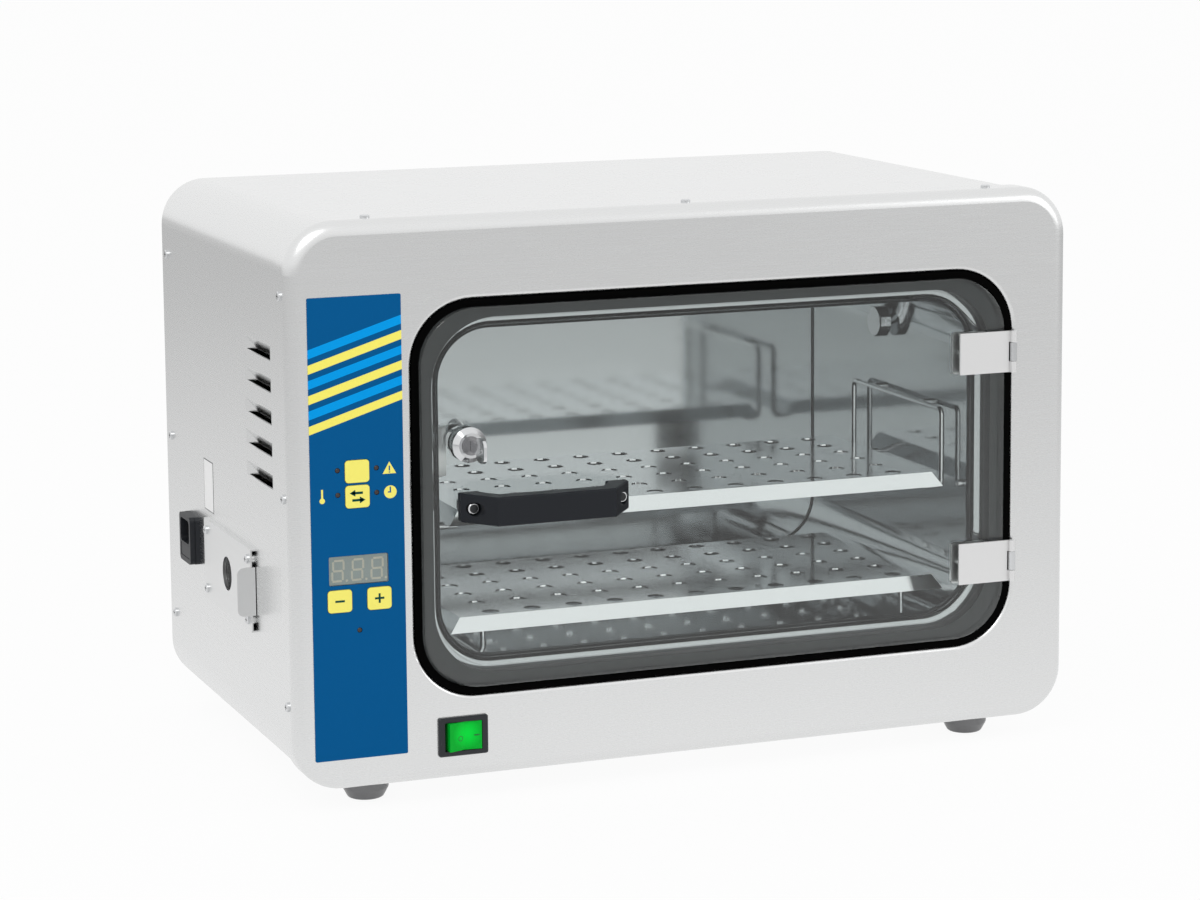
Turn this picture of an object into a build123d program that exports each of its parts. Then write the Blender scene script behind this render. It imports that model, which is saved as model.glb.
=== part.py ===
from build123d import *
from math import cos, radians, sin
import os

# Bench heating cabinet. Millimetres, X to the right, Y to the back, Z up.
# Pieces are drawn with X = 0 on the middle of the case, Y = 0 on the flat front of the
# fascia and Z = 0 on the bench. save() then shifts them to the middle of the whole part.

# Case
case_width = 527.0
case_height = 351.0
case_depth = 312.0
case_corner = 32.0
rim_radius = 9.0
fascia_sheet = 1.5
casing_sheet = 1.2
flange_depth = 22.8
casing_lap = 12.0
bottom_return = 14.0
base_sheet = 1.5
rear_sheet = 1.2
rear_recess = 1.0
rear_flange = 24.0
gap = 0.3

# Feet
foot_height = 14.5
foot_top_radius = 14.5
foot_bottom_radius = 11.0
foot_inset_x = 55.0
foot_inset_y = 36.0

# Door opening, glass and chamber, seen from the front
opening_left_margin = 77.8
opening_right_margin = 40.8
opening_bottom_margin = 52.5
opening_top_margin = 51.6
opening_width = case_width - opening_left_margin - opening_right_margin
opening_height = case_height - opening_bottom_margin - opening_top_margin
door_x = (opening_left_margin - opening_right_margin) / 2
door_z = foot_height + opening_bottom_margin + opening_height / 2
opening_radius = 40.0
lip_roll = 3.0
collar_depth = 12.0
glass_margin = 5.8
glass_width = opening_width - 2 * glass_margin
glass_height = opening_height - 2 * glass_margin + 1.4
glass_radius = opening_radius - 4.0
glass_thickness = 5.0
glass_proud = 2.0
chamber_width = opening_width - 45.4
chamber_height = opening_height - 41.9
chamber_corner = 33.0
chamber_rear = case_depth - 50.0
liner_sheet = 1.0
liner_flange_width = 24.0
mouth_radius = 7.0
gasket_margin = 2.0

# Insulation and heating
insulation = 20.0
heater_thickness = 1.5
heater_margin = 40.0
thermostat_radius = 8.0
thermostat_length = 7.0
thermostat_y = chamber_rear - 57.0
thermostat_z = door_z + chamber_height * 0.22
probe_radius = 10.5
probe_length = 8.0
probe_stem_radius = 3.0
probe_groove = 0.8
probe_y = chamber_rear * 0.52
probe_z = door_z + chamber_height / 2 - 29.5
probe_stand_off = 3.4

# Shelves and the wires that carry them
shelf_width = chamber_width - 35.0
shelf_length = chamber_rear - 108.0
shelf_sheet = 1.0
shelf_lip = 9.5
shelf_flare_x = 7.0
shelf_flare_y = 3.0
shelf_front = 34.0
upper_shelf_top = door_z - 13.5
lower_shelf_top = upper_shelf_top - 68.5
hole_radius = 5.4
hole_columns = 11
hole_rows = 6
hole_pitch_x = shelf_width / (hole_columns + 0.67)
hole_pitch_y = shelf_length / (hole_rows - 0.3)
wire_radius = 1.75
wire_bend = 4.0
rack_stand_off = 6.0
rack_top = upper_shelf_top + 39.5
rack_hook = 13.0
rack_overhang = 9.0
runner_half = chamber_width / 2 - 35.5
runner_rear_inset = 24.0
stud_radius = 2.5
stud_y = 24.0

# Hinges
hinge_height = 27.0
hinge_leaf = 38.0
hinge_sheet = 1.5
strap_sheet = 1.2
knuckle_radius = 2.3
pin_radius = 1.2
pin_fit = 0.05
hinge_axis_inset = 0.7
hinge_spread = glass_height - 98.6
hinge_middle = door_z + 0.3
middle_knuckle = 12.0
clamp_width = 25.0
clamp_sheet = 2.0
clamp_shift = 5.0
hinge_screw_radius = 2.0
hinge_screw_spread = 13.0
hinge_screw_inset = 4.5

# Handle
handle_x = door_x - glass_width / 2 + 76.7
handle_z = door_z - 3.5
handle_length = 110.0
handle_bar = 77.0
handle_reach = 31.0
handle_bar_depth = 12.0
handle_height = 18.0
handle_end = 13.5
handle_foot = 5.5
handle_screw_inset = 6.5
washer_radius = 7.0
washer_thickness = 1.5
handle_screw_radius = 2.0
handle_head_radius = 3.5

# Lock
lock_x = door_x - glass_width / 2 + 29.8
lock_z = door_z + 34.0
lock_radius = 11.0
lock_height = 4.5
barrel_radius = 8.5
barrel_end = 18.0
plug_radius = 5.8
plug_proud = 1.2
plug_fit = 0.1
tail_radius = 3.5
key_sheet = 2.0
key_blade = 6.5
key_depth = 14.0
key_bow = 15.0
key_bow_length = 15.0
key_reach = 33.0
cam_sheet = 2.0
cam_half_width = 5.0
cam_reach = 12.2
cam_front = 22.5
keeper_sheet = 1.3
keeper_reach = 5.3
keeper_height = 17.0
keeper_foot = 14.0

# Control panel on the fascia
overlay_left = -case_width / 2 + 12.7
overlay_width = 59.0
overlay_bottom = foot_height + 20.1
overlay_height = case_height - 65.6
overlay_sheet = 0.5
key_width = 15.8
key_height = 14.4
key_corner = 2.5
key_skirt = 1.2
key_proud = 0.4
key_travel = 0.5
display_width = 37.7
display_height = 18.0
display_z = overlay_bottom + overlay_height * 0.4124
display_depth = 8.0
led_radius = 1.5
led_column = 12.3
board_y = 10.0
board_sheet = 1.6
standoff_radius = 2.5

# Power switch
switch_x = overlay_left + 94.8
switch_z = foot_height + 27.5
bezel_width = 32.2
bezel_height = 24.6
bezel_proud = 2.0
switch_body_width = 27.6
switch_body_height = 21.6
switch_body_depth = 22.0
switch_wall = 1.6
rocker_tilt = 7.0
rocker_pivot_y = 4.5
rocker_dip = 2.2
rocker_side_gap = 1.3
rocker_pin = 1.5

# Mains inlet on the left side
inlet_y = case_depth - 69.0
inlet_z = foot_height + 115.4
inlet_width = 30.0
inlet_height = 32.0
inlet_proud = 6.6
inlet_step = 3.0
inlet_body = 27.0
inlet_wall = 3.0
socket_height = 15.8
socket_depth = 15.0
socket_pin = 9.0
drawer_height = 8.0
drawer_length = 24.0
drawer_travel = 18.0
fuse_radius = 2.6

# Cooling louvres and the air vent on the left side
louvre_count = 5
louvre_pitch = 20.0
louvre_length = 60.0
louvre_height = 9.0
louvre_depth = 6.0
louvre_front = 44.0
louvre_bottom = foot_height + case_height * 0.5194
vent_y = case_depth - 164.0
vent_z = foot_height + 109.7
vent_radius = 11.0
guide_front = vent_y - 58.0
guide_rear = vent_y + 57.0
guide_height = 53.0
guide_sheet = 1.0
guide_space = 2.0
guide_boss = 3.5
guide_screw_inset = 7.0
slider_height = 31.0
slider_rear = vent_y + 42.0
slider_sheet = 1.2
tab_reach = 10.4
tab_corner = 4.0
vent_travel = 25.0
duct_wall = 1.0

# Screws and electronics
screw_radius = 1.5
screw_head_radius = 3.0
screw_head = 1.8
screw_length = 8.0
screw_fit = 0.1
rim_screw_y = 13.0
rear_screw_inset = 14.0
foot_screw_radius = 2.4
foot_screw_head = 4.2
power_board_left = -case_width / 2 + 48.5
power_board_front = 60.0
power_board_width = 56.0
power_board_length = 110.0
power_board_height = 12.0
board_post_inset = 4.5

# Planes that several pieces share
wall_right = case_width / 2 - fascia_sheet - gap
wall_left = -wall_right
case_bottom = foot_height
case_top = foot_height + case_height
case_middle_z = foot_height + case_height / 2
casing_bottom = case_bottom + fascia_sheet + gap
glass_front = -glass_proud
glass_back = glass_front + glass_thickness
liner_front = collar_depth + gap
chamber_left = door_x - chamber_width / 2
chamber_right = door_x + chamber_width / 2
chamber_floor = door_z - chamber_height / 2
chamber_roof = door_z + chamber_height / 2
hinge_x = door_x + opening_width / 2 - hinge_axis_inset
hinge_y = glass_front - knuckle_radius
hinge_heights = [hinge_middle - hinge_spread / 2, hinge_middle + hinge_spread / 2]
overlay_x = overlay_left + overlay_width / 2
overlay_z = overlay_bottom + overlay_height / 2
guide_face = wall_left - guide_space - guide_sheet
shelf_rear = shelf_front + shelf_length

# The whole part reaches from the vent tab to the rim screws, and from the door key to the rear
part_middle_x = (screw_head - tab_reach) / 2
part_middle_y = (case_depth - key_reach) / 2

# Keys and lamps of the control panel
key_places = {
    "start_key": (overlay_x, display_z + 60.7),
    "mode_key": (overlay_x, display_z + 45.2),
    "minus_key": (overlay_x - led_column, display_z - 18.7),
    "plus_key": (overlay_x + led_column + 0.5, display_z - 18.7),
}
led_places = [
    (overlay_x - led_column, display_z + 61.9),
    (overlay_x + led_column, display_z + 61.9),
    (overlay_x - led_column, display_z + 46.8),
    (overlay_x + led_column, display_z + 46.8),
    (overlay_x, display_z - 37.6),
]


def save(name, shape):
    """Write one piece, with the origin shifted below the middle of the whole part."""
    export_step(Pos(-part_middle_x, -part_middle_y, 0) * shape, "parts/" + name + ".step")


def block(x, y, z):
    """Box between two limits along each axis."""
    size = [side[1] - side[0] for side in (x, y, z)]
    middle = [(side[0] + side[1]) / 2 for side in (x, y, z)]
    return Pos(*middle) * Box(*size)


def front_panel(center, size, corner, y):
    """Rounded rectangle seen from the front, between two depths."""
    plane = Plane(origin=(center[0], y[0], center[1]), x_dir=(1, 0, 0), z_dir=(0, 1, 0))
    return extrude(plane * RectangleRounded(size[0], size[1], corner), amount=y[1] - y[0])


def side_panel(center, size, corner, x):
    """Rounded rectangle seen from the side, between two places along X."""
    plane = Plane(origin=(x[0], center[0], center[1]), x_dir=(0, 1, 0), z_dir=(1, 0, 0))
    return extrude(plane * RectangleRounded(size[0], size[1], corner), amount=x[1] - x[0])


def bar(start, end, radius):
    """Round bar between two points."""
    run = Vector(*end) - Vector(*start)
    return extrude(Plane(origin=start, z_dir=run) * Circle(radius), amount=run.length)


def join(shapes):
    """Group of separate solids in one node."""
    return Compound(children=[solid for shape in shapes for solid in shape.solids()])


def screw(head_point, direction, radius=screw_radius, head=screw_head_radius, length=screw_length):
    """Pan-head screw: the head stands on head_point, the shank runs along direction."""
    seat = Vector(*head_point)
    way = Vector(*direction)
    top = bar(seat, seat - way * screw_head, head)
    top = chamfer(top.edges().filter_by(GeomType.CIRCLE).sort_by(lambda e: (e.center() - seat).length)[-1], 0.6)
    return top + bar(seat, seat + way * length, radius)


def loop_edges(shape, center, size, y):
    """Edges at one depth that belong to the loop of a given size round the door's middle."""
    found = []
    for edge in shape.edges():
        box = edge.bounding_box()
        flat = abs(box.min.Y - y) < 0.01 and abs(box.max.Y - y) < 0.01
        across = max(abs(box.min.X - center[0]), abs(box.max.X - center[0]))
        upright = max(abs(box.min.Z - center[1]), abs(box.max.Z - center[1]))
        at_side = abs(across - size[0] / 2) < 0.01 or abs(upright - size[1] / 2) < 0.01
        inside = across < size[0] / 2 + 0.01 and upright < size[1] / 2 + 0.01
        if flat and at_side and inside:
            found.append(edge)
    return found


def rim_screw_places():
    """Screws through the fascia's flange: three on each side and three on top."""
    places = []
    for z in (53.0, case_height / 2 + 6.5, case_height - 45.0):
        places.append(((-case_width / 2, rim_screw_y, foot_height + z), (1, 0, 0)))
        places.append(((case_width / 2, rim_screw_y, foot_height + z), (-1, 0, 0)))
    for x in (-case_width / 2 + 54.0, 0.0, case_width / 2 - 54.0):
        places.append(((x, rim_screw_y, case_top), (0, 0, -1)))
    return places


def rear_screw_places():
    """Screws through the casing into the rear panel's flange."""
    y = case_depth - rear_screw_inset
    places = []
    for z in (53.0, case_height / 2 + 0.5, case_height - 51.0):
        places.append(((wall_left, y, foot_height + z), (1, 0, 0)))
        places.append(((wall_right, y, foot_height + z), (-1, 0, 0)))
    return places


def base_screw_places():
    """Screws from below through the base plate into the casing's turned-in edges."""
    places = []
    for side in (-1, 1):
        for y in (flange_depth + 45.0, case_depth / 2, case_depth - 65.0):
            x = side * (case_width / 2 - case_corner - bottom_return / 2)
            places.append(((x, y, case_bottom), (0, 0, 1)))
    return places


def guide_screw_places():
    """Screws of the vent guide, near its four corners."""
    places = []
    for y in (guide_front + guide_screw_inset, guide_rear - guide_screw_inset):
        for side in (-1, 1):
            z = vent_z + side * (guide_height / 2 - guide_screw_inset)
            places.append(((guide_face, y, z), (1, 0, 0)))
    return places


def screw_holes(places, depth=screw_length):
    """Clearance holes for a list of screws."""
    holes = []
    for point, way in places:
        start = Vector(*point) - Vector(*way)
        holes.append(bar(start, start + Vector(*way) * (depth + 2), screw_radius + screw_fit))
    return holes


def case_tube(inset, y):
    """Block with the case's outline, drawn in by an inset all round."""
    size = (case_width - 2 * inset, case_height - 2 * inset)
    return front_panel((0, case_middle_z), size, case_corner - inset, y)


def front_fascia():
    """Drawn front pan: round rim, flange all round and a collar rolled into the door opening."""
    outer = case_tube(0, (0, flange_depth))
    outer = fillet(outer.edges().group_by(Axis.Y)[0], rim_radius)
    inner = case_tube(fascia_sheet, (fascia_sheet, flange_depth + 1))
    inner = fillet(inner.edges().group_by(Axis.Y)[0], rim_radius - fascia_sheet)
    pan = outer - inner
    center = (door_x, door_z)
    collar_size = (opening_width + 2 * fascia_sheet, opening_height + 2 * fascia_sheet)
    pan += front_panel(center, collar_size, opening_radius + fascia_sheet, (0, collar_depth))
    opening_size = (opening_width, opening_height)
    pan -= front_panel(center, opening_size, opening_radius, (-1, collar_depth + 1))
    pan = fillet(loop_edges(pan, center, collar_size, fascia_sheet), lip_roll - fascia_sheet)
    pan = fillet(loop_edges(pan, center, opening_size, 0), lip_roll)
    for x, z in key_places.values():
        pan -= front_panel((x, z), (key_width, key_height), key_corner, (-1, fascia_sheet + 1))
    for x, z in led_places:
        pan -= bar((x, -1, z), (x, fascia_sheet + 1, z), led_radius + gap / 2)
    window = (display_width, display_height)
    pan -= front_panel((overlay_x, display_z), window, 1.0, (-1, fascia_sheet + 1))
    switch_hole = (switch_body_width + 2 * screw_fit, switch_body_height + 2 * screw_fit)
    pan -= front_panel((switch_x, switch_z), switch_hole, 1.0, (-1, fascia_sheet + 1))
    for hole in screw_holes(rim_screw_places(), 2):
        pan -= hole
    return pan


def louvre_wedge(bottom, grow):
    """Pressed-in pocket of one louvre: wide at the wall, a thin edge inside, flat below."""
    x_outer = wall_left - 0.01
    x_inner = wall_left + louvre_depth + grow
    ends = []
    for x, shrink, height in ((x_outer, 0.0, louvre_height), (x_inner, louvre_depth, 0.8)):
        plane = Plane(
            origin=(x, louvre_front + louvre_length / 2, bottom + height / 2 + grow / 2),
            x_dir=(0, 1, 0),
            z_dir=(1, 0, 0),
        )
        ends.append(plane * Rectangle(louvre_length - 2 * shrink + 2 * grow, height + grow))
    return loft(ends)


def louvre_bottoms():
    """Lower edge of each louvre."""
    return [louvre_bottom + i * louvre_pitch for i in range(louvre_count)]


def outer_casing():
    """Wrapped sheet: top, sides and turned-in bottom edges, with louvres, vent and inlet holes."""
    outset = fascia_sheet + gap
    front = flange_depth - casing_lap
    shell = case_tube(outset, (front, case_depth))
    shell -= case_tube(outset + casing_sheet, (front - 1, case_depth + 1))
    open_half = case_width / 2 - case_corner - bottom_return
    under = (casing_bottom - 1, casing_bottom + casing_sheet + 1)
    shell -= block((-open_half, open_half), (front - 1, case_depth + 1), under)
    for bottom in louvre_bottoms():
        shell += louvre_wedge(bottom, casing_sheet)
    for bottom in louvre_bottoms():
        pocket = louvre_wedge(bottom, 0)
        shell -= pocket
        shell -= Pos(0, 0, -casing_sheet - 0.5) * pocket & block(
            (wall_left + casing_sheet, wall_left + louvre_depth + 1),
            (louvre_front, louvre_front + louvre_length),
            (bottom - casing_sheet - 1, bottom + casing_sheet),
        )
    shell -= bar((wall_left - 1, vent_y, vent_z), (wall_left + 3, vent_y, vent_z), vent_radius)
    hole_size = (inlet_width - 2 * inlet_step + 2 * screw_fit, inlet_height - 2 * inlet_step + 2 * screw_fit)
    shell -= side_panel((inlet_y, inlet_z), hole_size, 2.0, (wall_left - 1, wall_left + 3))
    holes = rim_screw_places() + rear_screw_places() + guide_screw_places() + base_screw_places()
    for hole in screw_holes(holes):
        shell -= hole
    return shell


def base_plate():
    """Bottom cover under the casing's edges, with air slots below the electronics."""
    half = case_width / 2 - case_corner - gap
    plate = front_slab((-half, half), (flange_depth + gap, case_depth - gap), 6.0)
    left = -case_width / 2 + 63.5
    for i in range(6):
        y = 90.0 + i * 14.0
        plate -= front_slab((left, left + 50.0), (y, y + 4.0), 1.9, 1)
    for hole in screw_holes(base_screw_places()):
        plate -= hole
    for x, y in foot_places():
        plate -= bar((x, y, case_bottom - 1), (x, y, case_bottom + 4), foot_screw_radius + screw_fit)
    return plate


def front_slab(x, y, corner, extra=0.0):
    """Flat plate of the base sheet's thickness with rounded corners, seen from above."""
    middle = ((x[0] + x[1]) / 2, (y[0] + y[1]) / 2, case_bottom - extra)
    sketch = Plane(origin=middle) * RectangleRounded(x[1] - x[0], y[1] - y[0], corner)
    return extrude(sketch, amount=base_sheet + 2 * extra)


def rear_panel():
    """Rear cover: a shallow pan whose flange runs forward inside the casing."""
    inset = fascia_sheet + 2 * gap + casing_sheet
    rear = case_depth - rear_recess
    outer = case_tube(inset, (rear - rear_flange, rear))
    outer = fillet(outer.edges().group_by(Axis.Y)[-1], 3.0)
    inner = case_tube(inset + rear_sheet, (rear - rear_flange - 1, rear - rear_sheet))
    inner = fillet(inner.edges().group_by(Axis.Y)[-1], 3.0 - rear_sheet)
    pan = outer - inner
    for hole in screw_holes(rear_screw_places()):
        pan -= hole
    return pan


def foot_places():
    """Middles of the four feet, seen from above."""
    x = case_width / 2 - foot_inset_x
    return [(side * x, y) for y in (foot_inset_y, case_depth - foot_inset_y) for side in (-1, 1)]


def foot(x, y):
    """Domed foot with a recess for its screw."""
    outline = Polyline(
        (0, 0),
        (foot_bottom_radius, 0),
        (foot_top_radius, foot_height * 0.45),
        (foot_top_radius, foot_height),
        (0, foot_height),
        close=True,
    )
    body = revolve(Plane.XZ * make_face(outline), Axis.Z)
    body = fillet(body.edges().filter_by(GeomType.CIRCLE).group_by(Axis.Z)[0], 2.5)
    body = fillet(body.edges().filter_by(GeomType.CIRCLE).group_by(Axis.Z)[-2], 2.5)
    body -= bar((0, 0, -1), (0, 0, 6.0), foot_screw_head + 0.6)
    body -= bar((0, 0, 0), (0, 0, foot_height + 1), foot_screw_radius + screw_fit)
    return Pos(x, y, 0) * body


def foot_screws():
    """One screw with its nut for each foot."""
    screws = []
    for x, y in foot_places():
        shank = bar((x, y, 6.0), (x, y, case_bottom + base_sheet + 5), foot_screw_radius)
        head = bar((x, y, 3.0), (x, y, 6.0), foot_screw_head)
        nut_plane = Plane(origin=(x, y, case_bottom + base_sheet))
        nut = extrude(nut_plane * RegularPolygon(foot_screw_head, 6), amount=3.5)
        screws.append(shank + head + nut)
    return join(screws)


def liner_shape(grow, y):
    """Block with the chamber's outline."""
    size = (chamber_width + 2 * grow, chamber_height + 2 * grow)
    return front_panel((door_x, door_z), size, chamber_corner + grow, y)


def chamber_liner():
    """Chamber: a rounded tube with a flat back, a bell mouth and a flange in front."""
    body = liner_shape(liner_sheet, (liner_front, chamber_rear + liner_sheet))
    body += liner_shape(liner_flange_width, (liner_front, liner_front + liner_sheet))
    tube_size = (chamber_width + 2 * liner_sheet, chamber_height + 2 * liner_sheet)
    center = (door_x, door_z)
    body = fillet(loop_edges(body, center, tube_size, liner_front + liner_sheet), mouth_radius - liner_sheet)
    body -= liner_shape(0, (liner_front - 1, chamber_rear))
    body = fillet(loop_edges(body, center, (chamber_width, chamber_height), liner_front), mouth_radius)
    body -= bar((chamber_left - 3, vent_y, vent_z), (chamber_left + 3, vent_y, vent_z), vent_radius)
    stem = probe_stem_radius + screw_fit
    body -= bar((chamber_right - 3, probe_y, probe_z), (chamber_right + 3, probe_y, probe_z), stem)
    return body


def hinge_foot_box(z, grow):
    """Space of one fixed leaf's foot and strap behind the glass."""
    left = hinge_x - knuckle_radius
    foot = block(
        (left - 10.0 - grow, left + strap_sheet + grow),
        (liner_front - strap_sheet - grow, liner_front + grow),
        (z - hinge_height / 2 - grow, z + hinge_height / 2 + grow),
    )
    strap = block(
        (left - grow, left + strap_sheet + grow),
        (hinge_y, liner_front + grow),
        (z - middle_knuckle / 2 - grow, z + middle_knuckle / 2 + grow),
    )
    return foot + strap


def door_gasket():
    """Rubber ring in the opening that the closed glass rests against."""
    center = (door_x, door_z)
    y = (glass_back + gap, liner_front)
    outer = (opening_width - 2 * gap, opening_height - 2 * gap)
    ring = front_panel(center, outer, opening_radius - gap, y)
    inner_grow = mouth_radius + gasket_margin
    ring -= liner_shape(inner_grow, (0, liner_front + 1))
    for z in hinge_heights:
        ring -= hinge_foot_box(z, gap)
    return ring


def insulation_wrap():
    """Mineral wool blanket round the liner, relieved for the floor heater, duct, probe and cut-out."""
    front = liner_front + liner_sheet + mouth_radius
    back = chamber_rear + liner_sheet
    inner = liner_sheet + gap
    wrap = liner_shape(inner + insulation, (front, back)) - liner_shape(inner, (front - 1, back + 1))
    outer_left = chamber_left - inner - insulation - 1
    inner_left = chamber_left - inner + 1
    hole = vent_radius + duct_wall + gap
    wrap -= bar((outer_left, vent_y, vent_z), (inner_left, vent_y, vent_z), hole)
    pocket = thermostat_radius + 2.0
    wrap -= bar((outer_left, thermostat_y, thermostat_z), (inner_left, thermostat_y, thermostat_z), pocket)
    outer_right = chamber_right + inner + insulation + 1
    wrap -= bar((chamber_right, probe_y, probe_z), (outer_right, probe_y, probe_z), probe_stem_radius + 1.0)
    return wrap - heater_bottom(2 * gap)


def insulation_rear():
    """Mineral wool slab behind the chamber, relieved for the rear heater."""
    front = chamber_rear + liner_sheet + gap
    slab = liner_shape(liner_sheet + gap + insulation, (front, front + insulation))
    return slab - heater_rear(2 * gap)


def heater_bottom(grow=0.0):
    """Flat heating mat under the chamber floor."""
    top = chamber_floor - liner_sheet - gap
    return block(
        (chamber_left + heater_margin - grow, chamber_right - heater_margin + grow),
        (heater_margin - grow, chamber_rear - heater_margin + grow),
        (top - heater_thickness - grow, top + grow),
    )


def heater_rear(grow=0.0):
    """Flat heating mat on the chamber's back."""
    front = chamber_rear + liner_sheet + gap
    return block(
        (chamber_left + heater_margin - grow, chamber_right - heater_margin + grow),
        (front - grow, front + heater_thickness + grow),
        (chamber_floor + heater_margin - grow, chamber_roof - heater_margin + grow),
    )


def overheat_thermostat():
    """Bimetal cut-out clipped to the outside of the liner's left wall."""
    wall = chamber_left - liner_sheet - gap
    center = (thermostat_y, thermostat_z)
    cap = bar((wall, *center), (wall - thermostat_length, *center), thermostat_radius)
    base = bar((wall - thermostat_length, *center), (wall - thermostat_length - 5, *center), thermostat_radius - 1.5)
    tabs = [
        block((wall - thermostat_length - 12, wall - thermostat_length - 5), (y - 0.4, y + 0.4),
              (thermostat_z - 3, thermostat_z + 3))
        for y in (thermostat_y - 3.5, thermostat_y + 3.5)
    ]
    return cap + base + tabs[0] + tabs[1]


def temperature_probe():
    """Turned boss on the right wall with a ring groove, its stem through the liner."""
    center = (probe_y, probe_z)
    back = chamber_right - probe_stand_off
    boss = bar((back, *center), (back - probe_length, *center), probe_radius)
    boss = chamfer(boss.edges().group_by(Axis.X)[0], 0.8)
    middle = back - probe_length / 2
    groove = bar((middle - 0.6, *center), (middle + 0.6, *center), probe_radius + 1)
    groove -= bar((middle - 1, *center), (middle + 1, *center), probe_radius - probe_groove)
    boss -= groove
    return boss + bar((back - 1, *center), (chamber_right + 16.0, *center), probe_stem_radius)


def shelf_frustum(width, length, drop, top):
    """Flat-topped form whose four sides slope outwards and down."""
    upper = Plane(origin=(door_x, shelf_front + shelf_length / 2, top)) * Rectangle(width, length)
    spread_x = shelf_flare_x * drop / shelf_lip
    spread_y = shelf_flare_y * drop / shelf_lip
    lower_plane = Plane(origin=(door_x, shelf_front + shelf_length / 2, top - drop))
    lower = lower_plane * Rectangle(width + 2 * spread_x, length + 2 * spread_y)
    return loft([upper, lower])


def shelf(top):
    """Perforated sheet shelf with a sloping lip on all four sides."""
    plate = shelf_frustum(shelf_width, shelf_length, shelf_lip, top)
    hollow_width = shelf_width - 2 * shelf_sheet * 0.5
    hollow_length = shelf_length - 2 * shelf_sheet * 0.7
    plate -= shelf_frustum(hollow_width - shelf_sheet, hollow_length, shelf_lip, top - shelf_sheet)
    middle = Pos(door_x, shelf_front + shelf_length / 2, top - 2 * shelf_sheet)
    grid = GridLocations(hole_pitch_x, hole_pitch_y, hole_columns, hole_rows)
    holes = Sketch() + [place * Circle(hole_radius) for place in grid]
    return plate - middle * extrude(holes, amount=3 * shelf_sheet)


def wire(points, bend):
    """Round wire along straight runs joined by bends."""
    path = FilletPolyline(*points, radius=bend)
    start = Plane(origin=points[0], z_dir=Vector(*points[1]) - Vector(*points[0]))
    return sweep(start * Circle(wire_radius), path=path)


def side_rack(side):
    """Bent wire on one side wall: a top run, two legs and hooks under the upper shelf."""
    wall = chamber_right if side > 0 else chamber_left
    x = wall - side * rack_stand_off
    hook_x = x - side * rack_hook
    front = shelf_front + rack_overhang
    rear = shelf_rear - rack_overhang
    hook_z = upper_shelf_top - shelf_lip - wire_radius - gap
    points = [
        (hook_x, front, hook_z),
        (x, front, hook_z),
        (x, front, rack_top),
        (x, rear, rack_top),
        (x, rear, hook_z),
        (hook_x, rear, hook_z),
    ]
    return wire(points, wire_bend)


def shelf_runners():
    """Two bent wires on the chamber floor that carry the lower shelf inside its lips."""
    runners = []
    for side in (-1, 1):
        x = door_x + side * runner_half
        front = shelf_front + rack_overhang
        rear = shelf_rear - runner_rear_inset
        top = lower_shelf_top - shelf_sheet - wire_radius - gap
        floor = chamber_floor
        points = [(x, front, floor), (x, front, top), (x, rear, top), (x, rear, floor)]
        runners.append(wire(points, wire_bend))
    return join(runners)


def rack_studs():
    """Studs on the side walls that hold the wire racks, and a stop stud in front of each."""
    studs = []
    for side in (-1, 1):
        wall = chamber_right if side > 0 else chamber_left
        wire_face = wall - side * (rack_stand_off - wire_radius)
        for y in (shelf_front + 40.0, shelf_rear - 40.0):
            studs.append(bar((wall, y, rack_top), (wire_face, y, rack_top), stud_radius))
        stop = bar((wall, stud_y, upper_shelf_top - 7.0), (wall - side * 4.0, stud_y, upper_shelf_top - 7.0), stud_radius)
        studs.append(stop)
    return join(studs)


def control_overlay():
    """Thin panel foil on the fascia with openings for the keys, lamps and display."""
    foil = front_panel((overlay_x, overlay_z), (overlay_width, overlay_height), 1.0, (-overlay_sheet, 0))
    for x, z in key_places.values():
        foil -= front_panel((x, z), (key_width, key_height), key_corner, (-1, 1))
    for x, z in led_places:
        foil -= bar((x, -1, z), (x, 1, z), led_radius + gap / 2)
    foil -= front_panel((overlay_x, display_z), (display_width, display_height), 1.0, (-1, 1))
    return foil


def panel_key(x, z):
    """Push key with a skirt behind the fascia and a stem towards its switch."""
    cap_size = (key_width - 2 * gap, key_height - 2 * gap)
    front = -overlay_sheet - key_proud
    skirt_front = fascia_sheet + gap
    cap = front_panel((x, z), cap_size, key_corner - gap, (front, skirt_front))
    skirt_size = (key_width + 2 * key_skirt - gap, key_height + 1.0 - 2 * gap)
    skirt = front_panel((x, z), skirt_size, key_corner, (skirt_front, skirt_front + 1.0))
    stem = bar((x, skirt_front + 1.0, z), (x, skirt_front + 2.0, z), 2.0)
    return cap + skirt + stem


def key_switch(x, z):
    """Small push switch on the control board, just clear of a pressed key."""
    front = fascia_sheet + gap + 2.0 + key_travel + gap
    return block((x - 3, x + 3), (front, board_y), (z - 3, z + 3))


def control_board():
    """Circuit board behind the panel with its four push switches."""
    z = (display_z - 49.8, display_z + 76.2)
    x = (overlay_x - overlay_width / 2 + 3, overlay_x + overlay_width / 2 - 3)
    board = block(x, (board_y, board_y + board_sheet), z)
    chip = block((overlay_x - 7, overlay_x + 7), (board_y + board_sheet, board_y + board_sheet + 2), (z[0] + 60, z[0] + 74))
    return join([board + chip] + [key_switch(*place) for place in key_places.values()])


def board_posts():
    """Posts of the control board on the fascia and of the supply board on the base plate."""
    posts = []
    for x in (overlay_x - 23.0, overlay_x + 23.0):
        for z in (display_z - 45.8, display_z + 72.2):
            posts.append(bar((x, fascia_sheet, z), (x, board_y, z), standoff_radius))
    left, right, front, rear = power_board_limits()
    floor = case_bottom + base_sheet
    for x in (left + board_post_inset, right - board_post_inset):
        for y in (front + board_post_inset, rear - board_post_inset):
            posts.append(bar((x, y, floor), (x, y, floor + power_board_height), standoff_radius))
    return join(posts)


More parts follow.
